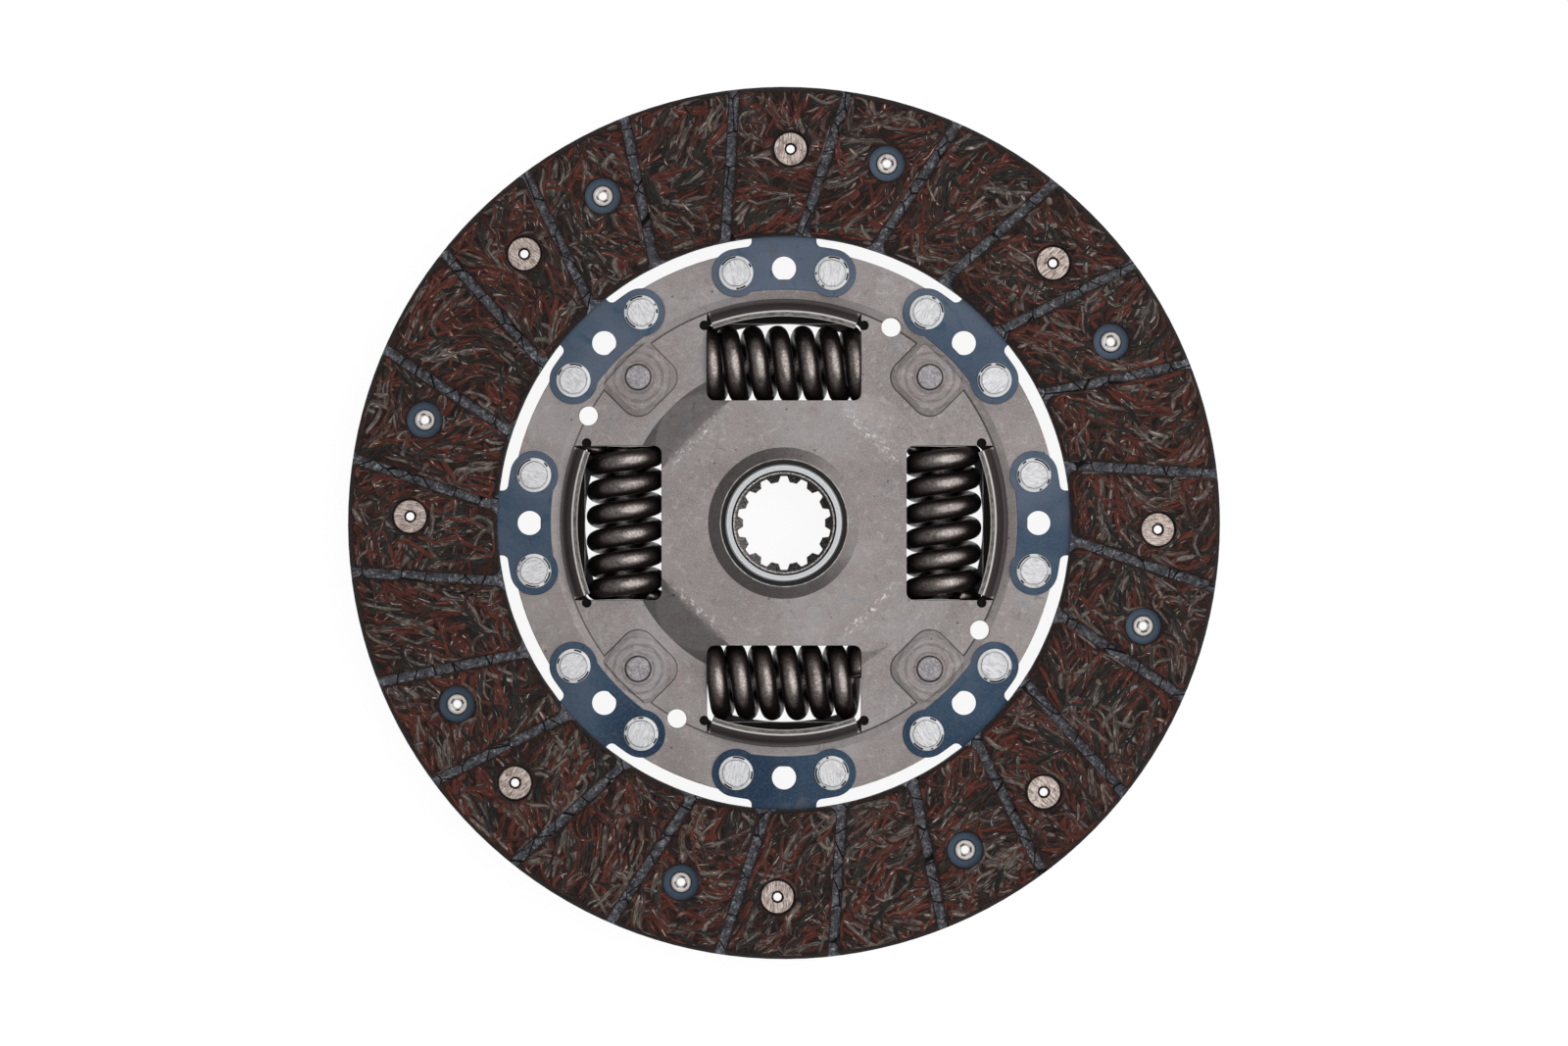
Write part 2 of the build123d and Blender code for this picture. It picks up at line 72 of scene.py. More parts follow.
WEB_HEIGHT = 4.95
WINDOWS = 4
WINDOW_HALF_WIDTH = 20.2
WINDOW_INNER_EDGE = 32.1
LIP_RADIUS = 55.0
LIP_ROOT_RADIUS = 57.5
LIP_HALF_LENGTH = 19.3
STEP_RADIUS = 58.3
PADS_INNER_RADIUS = 44.0
RING_SLOPE_RADIUS = 60.9
HUB_MIDDLE = 11.5
HUB_MOUTH_RADIUS = 13.7
HUB_RECESS_RADIUS = 12.9
SPRING_RADIUS = 41.55
SPRING_OUTER = 10.3
SPRING_WIRE = 2.7
SPRING_PITCH = 6.55
SPRING_LENGTH = 40.3
SPRING_TURNS = (68.0, 265.0, 93.0, 169.0)


def rgb(red, green, blue):
    """A colour as a picture shows it, 0 to 255, for a shader socket."""
    def linear(level):
        part = level / 255
        return part / 12.92 if part <= 0.04045 else ((part + 0.055) / 1.055) ** 2.4

    return (linear(red), linear(green), linear(blue), 1.0)


def set_range(node, low, high, to_low, to_high):
    """Writes the four plain numbers of a Map Range node."""
    node.inputs["From Min"].default_value = low
    node.inputs["From Max"].default_value = high
    node.inputs["To Min"].default_value = to_low
    node.inputs["To Max"].default_value = to_high


class Paint:
    """One node material: a Principled shader and short calls that add the nodes behind it."""

    def __init__(self, name, metallic=0.0, specular=0.5):
        self.material = bpy.data.materials.new(name)
        self.material.use_nodes = True
        self.tree = self.material.node_tree
        self.tree.nodes.clear()
        output = self.tree.nodes.new("ShaderNodeOutputMaterial")
        self.shader = self.tree.nodes.new("ShaderNodeBsdfPrincipled")
        self.tree.links.new(self.shader.outputs["BSDF"], output.inputs["Surface"])
        self.shader.inputs["Metallic"].default_value = metallic
        self.shader.inputs["Specular IOR Level"].default_value = specular
        self.spot = None

    def set(self, socket, value):
        """Links a node's output to a socket, or writes a plain value on it."""
        if hasattr(value, "links"):
            self.tree.links.new(value, socket)
        else:
            socket.default_value = value

    def shade(self, **sockets):
        """Sets the shader's own sockets and hands the material over."""
        for name, value in sockets.items():
            self.set(self.shader.inputs[name.replace("_", " ")], value)
        return self.material

    def place(self):
        """Where a point is in the part's frame at rest, in millimetres."""
        if self.spot is None:
            coords = self.tree.nodes.new("ShaderNodeTexCoord")
            scale = self.tree.nodes.new("ShaderNodeVectorMath")
            scale.operation = "SCALE"
            scale.inputs["Scale"].default_value = 1 / MM
            self.tree.links.new(coords.outputs["Object"], scale.inputs[0])
            self.spot = scale.outputs["Vector"]
        return self.spot

    def attribute(self, name):
        node = self.tree.nodes.new("ShaderNodeAttribute")
        node.attribute_name = name
        return node.outputs["Vector"]

    def split(self, vector):
        node = self.tree.nodes.new("ShaderNodeSeparateXYZ")
        self.set(node.inputs[0], vector)
        return node.outputs["X"], node.outputs["Y"], node.outputs["Z"]

    def join(self, x, y, z):
        node = self.tree.nodes.new("ShaderNodeCombineXYZ")
        for socket, value in zip(node.inputs, (x, y, z)):
            self.set(socket, value)
        return node.outputs[0]

    def math(self, operation, a, b=0.0, c=0.0):
        node = self.tree.nodes.new("ShaderNodeMath")
        node.operation = operation
        for socket, value in zip(node.inputs, (a, b, c)):
            self.set(socket, value)
        return node.outputs[0]

    def times(self, first, *others):
        """The product of several values or masks."""
        for other in others:
            first = self.math("MULTIPLY", first, other)
        return first

    def plus(self, a, b):
        return self.math("ADD", a, b)

    def minus(self, a, b):
        return self.math("SUBTRACT", a, b)

    def scaled(self, value, factor, added):
        """The value times a factor, plus something."""
        return self.math("MULTIPLY_ADD", value, factor, added)

    def either(self, a, b):
        """The larger of two values: a mask that holds both."""
        return self.math("MAXIMUM", a, b)

    def but(self, mask):
        """1 where a mask is 0, and 0 where it is 1."""
        return self.minus(1.0, mask)

    def absolute(self, value):
        return self.math("ABSOLUTE", value)

    def noise(self, vector, scale, detail=3.0, roughness=0.5, distortion=0.0):
        node = self.tree.nodes.new("ShaderNodeTexNoise")
        self.set(node.inputs["Vector"], vector)
        node.inputs["Scale"].default_value = scale
        node.inputs["Detail"].default_value = detail
        node.inputs["Roughness"].default_value = roughness
        node.inputs["Distortion"].default_value = distortion
        return node.outputs["Fac"]

    def stretched(self, a, b, c, detail=3.0, roughness=0.6, distortion=0.0):
        """Noise over three values that are already scaled, for brush marks and threads."""
        return self.noise(self.join(a, b, c), 1.0, detail, roughness, distortion)

    def cells(self, vector, scale, feature="F1"):
        node = self.tree.nodes.new("ShaderNodeTexVoronoi")
        node.feature = feature
        self.set(node.inputs["Vector"], vector)
        node.inputs["Scale"].default_value = scale
        return node.outputs["Distance"]

    def spread(self, value, low, high, to_low=0.0, to_high=1.0):
        """The value from low to high, eased, as to_low to to_high. Low may be the larger number."""
        node = self.tree.nodes.new("ShaderNodeMapRange")
        node.interpolation_type = "SMOOTHSTEP"
        self.set(node.inputs["Value"], value)
        set_range(node, low, high, to_low, to_high)
        return node.outputs["Result"]

    def band(self, value, low, high, soft):
        """1 where value lies between low and high, with soft edges."""
        rise = self.spread(value, low - soft, low + soft)
        fall = self.spread(value, high - soft, high + soft, 1.0, 0.0)
        return self.times(rise, fall)

    def ramp(self, value, *stops):
        node = self.tree.nodes.new("ShaderNodeValToRGB")
        self.set(node.inputs["Fac"], value)
        elements = node.color_ramp.elements
        while len(elements) < len(stops):
            elements.new(0.5)
        for element, (position, color) in zip(elements, stops):
            element.position = position
            element.color = color
        return node.outputs["Color"]

    def mix(self, factor, a, b):
        node = self.tree.nodes.new("ShaderNodeMix")
        node.data_type = "RGBA"
        self.set(node.inputs[0], factor)
        self.set(node.inputs[6], a)
        self.set(node.inputs[7], b)
        return node.outputs[2]

    def bump(self, height, distance, strength=1.0, normal=None):
        node = self.tree.nodes.new("ShaderNodeBump")
        node.inputs["Strength"].default_value = strength
        node.inputs["Distance"].default_value = distance * MM
        self.set(node.inputs["Height"], height)
        if normal is not None:
            self.set(node.inputs["Normal"], normal)
        return node.outputs["Normal"]

    def soft_edges(self, radius):
        """A normal that rounds the edges by a radius in metres, a number or a node's output."""
        node = self.tree.nodes.new("ShaderNodeBevel")
        node.samples = 8
        self.set(node.inputs["Radius"], radius)
        return node.outputs["Normal"]

    def edge_mask(self, rounded):
        """1 on an edge that soft_edges rounds, 0 on the faces."""
        geometry = self.tree.nodes.new("ShaderNodeNewGeometry")
        dot = self.tree.nodes.new("ShaderNodeVectorMath")
        dot.operation = "DOT_PRODUCT"
        self.set(dot.inputs[0], rounded)
        self.set(dot.inputs[1], geometry.outputs["True Normal"])
        return self.spread(dot.outputs["Value"], 0.9, 0.995, 1.0, 0.0)

    def facing_up(self, normal="True Normal"):
        """How far the surface faces the front, from -1 to 1."""
        geometry = self.tree.nodes.new("ShaderNodeNewGeometry")
        turn = self.tree.nodes.new("ShaderNodeVectorTransform")
        turn.vector_type = "NORMAL"
        turn.convert_from = "WORLD"
        turn.convert_to = "OBJECT"
        self.set(turn.inputs[0], geometry.outputs[normal])
        return self.split(turn.outputs[0])[2]

    def length(self, x, y):
        return self.math("SQRT", self.scaled(x, x, self.times(y, y)))

    def radius(self):
        x, y, _ = self.split(self.place())
        return self.length(x, y)

    def around(self, circle, first, count):
        """Place about the nearest of count points on a circle: outward, sideways, and which point it is."""
        x, y, _ = self.split(self.place())
        turn = self.math("DIVIDE", self.math("ARCTAN2", y, x), math.tau)
        shifted = self.scaled(turn, float(count), 0.5 - first / 360 * count)
        index = self.math("FLOOR", shifted)
        off = self.minus(self.minus(shifted, index), 0.5)
        angle = self.times(off, math.tau / count)
        radius = self.length(x, y)
        outward = self.minus(self.times(radius, self.math("COSINE", angle)), circle)
        sideways = self.times(radius, self.math("SINE", angle))
        return outward, sideways, index

    def polar(self, outward, sideways):
        return self.length(outward, sideways), self.math("ARCTAN2", sideways, outward)


def dress(material, *nodes):
    """Gives CAD nodes their material."""
    for name in nodes:
        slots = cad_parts[name].data.materials
        slots.clear()
        slots.append(material)


# Pressed steel of the two damper plates: satin warm grey, stained here and there, with bright edges that
# are partly rubbed wear and partly a painted highlight
def plate_stains(p, spot, grain):
    cloud = p.noise(spot, 0.045, 4.0, 0.55, 0.6)
    tint = p.noise(spot, 0.16, 3.0, 0.6, 1.2)
    smudge = p.noise(spot, 0.45, 4.0, 0.65, 0.8)
    base = p.ramp(cloud, (0.3, rgb(144, 136, 134)), (0.5, rgb(160, 152, 151)), (0.7, rgb(172, 166, 167)))
    base = p.mix(p.spread(tint, 0.56, 0.74, 0.0, 0.6), base, rgb(164, 146, 145))
    base = p.mix(p.spread(tint, 0.42, 0.28, 0.0, 0.5), base, rgb(150, 153, 160))
    base = p.mix(p.spread(smudge, 0.54, 0.7, 0.0, 0.55), base, rgb(192, 187, 184))
    base = p.mix(p.spread(smudge, 0.44, 0.28, 0.0, 0.5), base, rgb(116, 108, 106))
    base = p.mix(p.spread(grain, 0.46, 0.7, 0.0, 0.45), base, rgb(202, 197, 194))
    base = p.mix(p.spread(grain, 0.46, 0.28, 0.0, 0.5), base, rgb(114, 106, 103))
    speck = p.scaled(grain, 0.12, p.cells(spot, 0.2))
    return p.mix(p.spread(speck, 0.15, 0.1, 0.0, 0.7), base, rgb(74, 66, 62))


def pin_rings(p, grain):
    """Faint rubbed rings and two arcs round each stop pin."""
    outward, sideways, _ = p.around(STOP_PIN_RADIUS, 45.0, WINDOWS)
    rho = p.length(outward, sideways)
    worn = p.scaled(grain, 1.3, rho)
    ripple = p.spread(p.math("SINE", p.times(worn, 2.9)), 0.0, 1.0, 0.0, 0.32)
    rings = p.times(p.band(rho, 3.7, 8.6, 0.5), ripple, p.spread(grain, 0.3, 0.55, 0.5, 1.6))
    beside = p.length(p.plus(outward, 1.1), p.plus(sideways, -0.9))
    arcs = p.either(p.band(beside, 4.75, 4.95, 0.14), p.band(beside, 6.3, 6.5, 0.14))
    return p.either(rings, p.times(arcs, 0.4))


def window_lips(p, radius, height):
    """Masks of the bent lips: their cut edges, and the painted shade on their sides and in the bend at
    their root down to the ring's step.
    """
    _, sideways, _ = p.around(LIP_RADIUS, 0.0, WINDOWS)
    lip = p.times(
        p.band(radius, LIP_RADIUS - 4.0, LIP_ROOT_RADIUS, 0.2),
        p.band(sideways, -LIP_HALF_LENGTH - 2.7, LIP_HALF_LENGTH + 2.7, 0.3),
        p.spread(height, WEB_HEIGHT + 0.15, WEB_HEIGHT + 0.65),
    )
    # painted shade in the bend at the lips' root
    bend_shade = p.times(
        p.band(radius, LIP_ROOT_RADIUS - 1.8, STEP_RADIUS, 0.1),
        p.band(sideways, -LIP_HALF_LENGTH, LIP_HALF_LENGTH, 0.2),
        p.spread(height, WEB_HEIGHT - 0.4, WEB_HEIGHT - 0.2),
    )
    flat = p.spread(p.absolute(p.facing_up()), 0.86, 0.94)
    side = p.either(p.times(lip, p.but(flat)), bend_shade)
    return p.times(lip, flat, p.but(bend_shade)), side


def lip_edge_steel(p, radius):
    """The lips' cut edges: grey, streaked along their length, with a pale line at either side."""
    _, sideways, index = p.around(LIP_RADIUS, 0.0, WINDOWS)
    streak = p.stretched(p.times(radius, 2.2), p.times(sideways, 0.45), index, 4.0, 0.7)
    steel = p.mix(p.spread(streak, 0.38, 0.64), rgb(84, 80, 78), rgb(142, 138, 135))
    outer_line = p.band(radius, LIP_RADIUS + 0.2, LIP_RADIUS + 0.6, 0.12)
    inner_line = p.band(radius, LIP_RADIUS - 1.3, LIP_RADIUS - 0.7, 0.15)
    steel = p.mix(outer_line, steel, rgb(216, 212, 209))
    return p.mix(inner_line, steel, rgb(174, 170, 167))


def crown_rounding(p):
    """The radius of the plate's edges, in metres: wide where a flat runs into the crown's top."""
    outward, sideways, _ = p.around(CROWN_FLAT_RADIUS, 45.0, WINDOWS)
    corner_out = (WINDOW_INNER_EDGE + WINDOW_HALF_WIDTH) / math.sqrt(2) - CROWN_FLAT_RADIUS
    corner_side = (WINDOW_INNER_EDGE - WINDOW_HALF_WIDTH) / math.sqrt(2)
    from_corner = p.absolute(p.minus(outward, corner_out))
    past_window = p.minus(p.plus(from_corner, corner_side), p.absolute(sideways))
    wide = p.times(p.spread(past_window, 0.5, 5.0), p.band(outward, -4.0, 4.5, 1.5))
    return p.spread(wide, 0.0, 1.0, 0.25 * MM, 4.0 * MM)


def crown_scuffs_and_highlight(p, smudge):
    """Whitish scuffs along the top edges of the crown's flats, also a painted highlight on these convex
    edges.
    """
    outward, sideways, index = p.around(CROWN_FLAT_RADIUS, 45.0, WINDOWS)
    broken = p.stretched(p.times(outward, 1.1), p.times(sideways, 0.7), index, 4.0, 0.7)
    strip = p.times(p.band(outward, -1.8, 0.5, 0.5), p.band(sideways, -9.0, 9.0, 2.0))
    return p.times(strip, p.spread(broken, 0.52, 0.6), p.spread(smudge, 0.3, 0.6, 0.5, 1.0))


def pressed_slopes(p, radius, height, lip):
    """Masks of the short slopes of the pads and of the ring, and of the painted shade in the crease along
    their lower edge.
    """
    upright = p.absolute(p.facing_up())
    sloping = p.times(
        p.spread(upright, 0.97, 0.93), p.spread(upright, 0.2, 0.3),
        p.band(radius, PADS_INNER_RADIUS, RING_SLOPE_RADIUS, 0.1), p.but(lip),
    )
    return sloping, p.times(sloping, p.spread(height, WEB_HEIGHT + 0.3, WEB_HEIGHT + 0.18))


def plate_steel(name):
    p = Paint(name)
    spot = p.place()
    _, _, z = p.split(spot)
    grain = p.noise(spot, 2.6, 4.0, 0.7)
    patchy = p.noise(spot, 0.5, 3.0)
    base = plate_stains(p, spot, grain)
    rounded = p.soft_edges(crown_rounding(p))
    # bright edges: partly rubbed wear, partly a painted highlight on the rounded edges
    rub_and_highlight = p.times(p.edge_mask(rounded), p.spread(patchy, 0.35, 0.65, 0.15, 0.85))
    base = p.mix(p.times(rub_and_highlight, 0.45), base, rgb(214, 211, 209))
    rings = pin_rings(p, patchy)
    base = p.mix(rings, base, rgb(104, 96, 93))
    # whitish scuffs that also serve as a painted highlight along the crown's convex top edges
    base = p.mix(p.times(crown_scuffs_and_highlight(p, patchy), 0.75), base, rgb(240, 236, 232))
    radius = p.radius()
    height = p.absolute(p.minus(z, DAMPER_MIDDLE))
    cut, side = window_lips(p, radius, height)
    sloping, crease_shade = pressed_slopes(p, radius, height, p.plus(cut, side))
    # painted shade in the crease at the slopes' lower edge
    base = p.mix(p.times(crease_shade, 0.8), base, rgb(62, 56, 54))
    base = p.mix(cut, base, lip_edge_steel(p, radius))
    # painted shade on the lips' sides and in the bend at their root
    base = p.mix(p.times(side, 0.95), base, rgb(54, 47, 45))
    # painted highlight on the collar's rim
    rim_highlight = p.band(radius, COLLAR_RIM_RADIUS - 0.3, COLLAR_RIM_RADIUS, 0.05)
    base = p.mix(p.times(rim_highlight, p.spread(patchy, 0.4, 0.65, 0.0, 0.45)), base, rgb(244, 240, 237))
    lathe = p.times(p.stretched(radius, 0.0, 0.0, 2.0), p.spread(radius, 22.0, 34.0, 0.5, 0.0))
    rough = p.scaled(rub_and_highlight, -0.12, p.scaled(grain, 0.16, 0.31))
    relief = p.scaled(grain, 0.6, p.scaled(rings, 0.8, lathe))
    normal = p.bump(relief, 0.02, 0.6, rounded)
    shine = p.scaled(p.either(sloping, side), -0.75, 0.95)
    return p.shade(Base_Color=base, Metallic=shine, Roughness=rough, Normal=normal)


# Blued spring steel of the cushion segments: slate blue, deeper towards the bottom, browned in patches
def blued_steel(name):
    p = Paint(name, metallic=0.95)
    spot = p.place()
    _, y, _ = p.split(spot)
    cloud = p.scaled(y, 0.003, p.noise(spot, 0.03, 3.0, 0.55, 0.8))
    patch = p.noise(spot, 0.11, 4.0, 0.6, 1.5)
    grain = p.noise(spot, 1.8, 5.0, 0.7)
    base = p.ramp(
        cloud,
        (0.2, rgb(44, 62, 84)), (0.42, rgb(62, 81, 102)),
        (0.6, rgb(84, 97, 115)), (0.78, rgb(100, 110, 127)),
    )
    base = p.mix(p.spread(patch, 0.54, 0.7, 0.0, 0.6), base, rgb(48, 80, 100))
    base = p.mix(p.spread(patch, 0.42, 0.26, 0.0, 0.6), base, rgb(98, 95, 97))
    base = p.mix(p.spread(grain, 0.42, 0.75, 0.0, 0.3), base, rgb(120, 134, 150))
    base = p.mix(p.spread(grain, 0.42, 0.25, 0.0, 0.35), base, rgb(38, 52, 70))
    speck = p.scaled(grain, 0.14, p.cells(spot, 0.35))
    base = p.mix(p.spread(speck, 0.17, 0.1, 0.0, 0.55), base, rgb(34, 40, 50))
    under_facing = p.spread(p.radius(), FACING_BORE_RADIUS + 9.0, FACING_BORE_RADIUS + 15.0, 0.0, 0.75)
    base = p.mix(under_facing, base, rgb(84, 98, 114))
    rounded = p.soft_edges(0.2 * MM)
    # painted shade along the segments' edges
    base = p.mix(p.times(p.edge_mask(rounded), 0.6), base, rgb(28, 36, 48))
    rough = p.scaled(grain, 0.2, 0.3)
    return p.shade(Base_Color=base, Roughness=rough, Normal=p.bump(grain, 0.012, 0.5, rounded))


# The facing under its fibres: black-brown resin, slate-grey groove floors, a dull skin at the rims
def facing_resin(name, face, side):
    p = Paint(name, specular=0.15)
    spot = p.place()
    x, y, z = p.split(spot)
    depth = p.times(p.minus(z, face), -side)
    radius = p.radius()
    mottle = p.noise(spot, 0.55, 5.0, 0.65, 1.0)
    grain = p.noise(spot, 2.4, 4.0, 0.7)
    land = p.ramp(
        mottle,
        (0.28, rgb(16, 18, 17)), (0.48, rgb(34, 29, 27)),
        (0.6, rgb(58, 33, 25)), (0.75, rgb(40, 42, 38)),
    )
    skin = p.ramp(grain, (0.3, rgb(22, 22, 22)), (0.55, rgb(48, 44, 44)), (0.75, rgb(82, 78, 76)))
    outer_rim = p.spread(radius, FACING_RADIUS - 1.6, FACING_RADIUS - 0.5)
    inner_rim = p.spread(radius, FACING_BORE_RADIUS + 1.0, FACING_BORE_RADIUS + 0.3)
    land = p.mix(p.times(p.either(outer_rim, inner_rim), 0.85), land, skin)
    streak = p.noise(spot, 0.9, 5.0, 0.75, 0.8)
    floor = p.ramp(
        streak,
        (0.34, rgb(36, 36, 40)), (0.46, rgb(74, 75, 80)),
        (0.56, rgb(98, 99, 105)), (0.66, rgb(172, 173, 179)),
    )
    floor = p.mix(p.spread(mottle, 0.53, 0.64, 0.0, 0.75), floor, rgb(44, 40, 41))
    cracks = p.spread(p.cells(spot, 0.12, "DISTANCE_TO_EDGE"), 0.03, 0.01)
    floor = p.mix(cracks, floor, rgb(16, 15, 16))
    base = p.mix(p.spread(depth, 0.5, 0.9), land, floor)
    layers = p.stretched(p.times(x, 0.12), p.times(y, 0.12), p.times(z, 3.5), 4.0, 0.7)
    cut = p.ramp(layers, (0.35, rgb(20, 20, 20)), (0.6, rgb(50, 45, 43)), (0.75, rgb(80, 56, 45)))
    upright = p.absolute(p.facing_up())
    base = p.mix(p.spread(upright, 0.6, 0.3, 0.0, 0.9), base, cut)
    # painted shade on the floors of the rivet recesses
    seat_shade = p.times(p.spread(depth, 1.5, 1.9), p.spread(upright, 0.5, 0.9, 0.0, 0.8))
    base = p.mix(seat_shade, base, rgb(40, 38, 38))
    rough = p.scaled(grain, 0.25, 0.5)
    height = p.scaled(grain, 0.5, p.scaled(streak, 0.4, mottle))
    normal = p.bump(height, 0.12, 0.9, p.soft_edges(0.25 * MM))
    return p.shade(Base_Color=base, Roughness=rough, Normal=normal)


# The fibres: each has its own shade of colour, threads that run along it, and painted shade that darkens
# its sides and ends
def fibre_yarn(name):
    p = Paint(name, specular=0.12)
    across, along, shade = p.split(p.attribute("strand"))
    beside = p.absolute(across)
    seed = p.times(shade, 371.0)
    threads = p.stretched(p.scaled(across, 2.6, seed), p.times(along, 0.3), seed)
    broken = p.stretched(p.scaled(across, 0.8, seed), p.times(along, 0.42), seed, 2.0)
    core = p.ramp(
        shade,
        (0.0, rgb(27, 32, 30)), (0.2, rgb(38, 41, 38)), (0.3, rgb(50, 33, 29)),
        (0.44, rgb(78, 38, 31)), (0.58, rgb(92, 43, 34)), (0.7, rgb(66, 39, 34)),
        (0.8, rgb(64, 56, 52)), (0.9, rgb(84, 75, 70)), (1.0, rgb(44, 45, 42)),
    )
    side = p.ramp(broken, (0.35, rgb(26, 22, 21)), (0.55, rgb(58, 31, 27)), (0.7, rgb(84, 40, 32)))
    # the sides' darker, redder colour and, further below, their near-black edges are painted shade between
    # the strands
    base = p.mix(p.spread(beside, 0.35, 0.9, 0.0, 0.85), core, side)
    base = p.mix(p.spread(threads, 0.5, 0.34, 0.0, 0.8), base, rgb(23, 20, 19))
    base = p.mix(p.spread(threads, 0.56, 0.7, 0.0, 0.5), base, rgb(120, 72, 54))
    narrow = p.spread(beside, 0.9, 0.2)
    grey = p.times(narrow, p.spread(broken, 0.4, 0.56), p.spread(shade, 0.62, 0.8, 0.08, 0.8))
    base = p.mix(p.times(grey, p.spread(threads, 0.38, 0.58)), base, rgb(122, 113, 107))
    glint = p.times(p.spread(beside, 0.6, 0.1), p.spread(threads, 0.6, 0.68), p.spread(broken, 0.5, 0.6))
    base = p.mix(p.times(glint, 0.8), base, rgb(206, 196, 189))
    # painted shade at the strands' very edges
    base = p.mix(p.spread(beside, 0.8, 1.0, 0.0, 0.5), base, rgb(18, 17, 17))
    rough = p.scaled(threads, 0.35, 0.36)
    return p.shade(Base_Color=base, Roughness=rough, Normal=p.bump(threads, 0.09, 0.9))


# Tubular rivets of the facings: coppered steel heads, rolled ends with small splits; painted shade in the
# dimples, bores and round the ends, and a painted highlight on the heads' rims
def rivet_head(p, rho, brushed, stain, scratch):
    head = p.ramp(brushed, (0.34, rgb(112, 94, 87)), (0.48, rgb(184, 166, 157)), (0.6, rgb(244, 230, 222)))
    head = p.mix(p.spread(stain, 0.54, 0.68, 0.0, 0.65), head, rgb(118, 110, 110))
    head = p.mix(p.spread(stain, 0.42, 0.3, 0.0, 0.55), head, rgb(236, 226, 220))
    head = p.mix(p.spread(scratch, 0.045, 0.0, 0.0, 0.7), head, rgb(70, 58, 55))
    # painted shade at the dimple's edge
    dimple_shade = p.band(rho, 1.15, 1.55, 0.12)
    # painted highlight on the head's rim
    rim_highlight = p.spread(rho, 4.0, 4.35, 0.0, 0.7)
    head = p.mix(dimple_shade, head, rgb(46, 38, 36))
    return p.mix(rim_highlight, head, rgb(240, 232, 226))


def rivet_tail(p, rho, phi, brushed, stain):
    splits = p.math("SINE", p.scaled(phi, 3.0, p.times(stain, 9.0)))
    arc = p.times(p.band(rho, 1.3, 1.75, 0.14), p.spread(splits, -0.1, 0.4))
    tail = p.ramp(brushed, (0.3, rgb(222, 212, 207)), (0.55, rgb(248, 241, 237)), (0.8, rgb(255, 252, 250)))
    tail = p.mix(p.spread(stain, 0.56, 0.7, 0.0, 0.6), tail, rgb(168, 150, 140))
    # painted shade round the rolled end and in its bore
    outline_shade = p.spread(rho, 2.45, 2.65, 0.0, 0.9)
    bore_shade = p.spread(rho, 1.15, 1.0, 0.0, 0.75)
    tail = p.mix(p.times(arc, 0.92), tail, rgb(40, 32, 30))
    tail = p.mix(outline_shade, tail, rgb(30, 26, 25))
    tail = p.mix(bore_shade, tail, rgb(70, 62, 58))
    return tail, arc


def facing_rivet_steel(name, first, head_side):
    p = Paint(name)
    _, _, z = p.split(p.place())
    outward, sideways, index = p.around(RIVET_CIRCLE_RADIUS, first, RIVETS_A_SIDE)
    rho, phi = p.polar(outward, sideways)
    seed = p.times(index, 13.7)
    brushed = p.stretched(p.times(outward, 0.5), p.times(sideways, 3.2), seed, 4.0, 0.7)
    stain = p.noise(p.join(outward, sideways, seed), 0.55, 4.0, 0.6, 1.0)
    line = p.join(p.times(outward, 0.16), p.times(sideways, 1.6), seed)
    head = rivet_head(p, rho, brushed, stain, p.cells(line, 1.0, "DISTANCE_TO_EDGE"))
    tail, arc = rivet_tail(p, rho, phi, brushed, stain)
    above = p.times(p.minus(z, FACING_MIDDLE), head_side)
    is_head = p.spread(above, -0.5, 0.5)
    base = p.mix(is_head, tail, head)
    shine = p.spread(is_head, 0.0, 1.0, 0.25, 0.92)
    rough = p.scaled(brushed, 0.25, 0.22)
    height = p.scaled(arc, -2.0, brushed)
    normal = p.bump(height, 0.03, 0.8, p.soft_edges(0.15 * MM))
    return p.shade(Base_Color=base, Metallic=shine, Roughness=rough, Normal=normal)


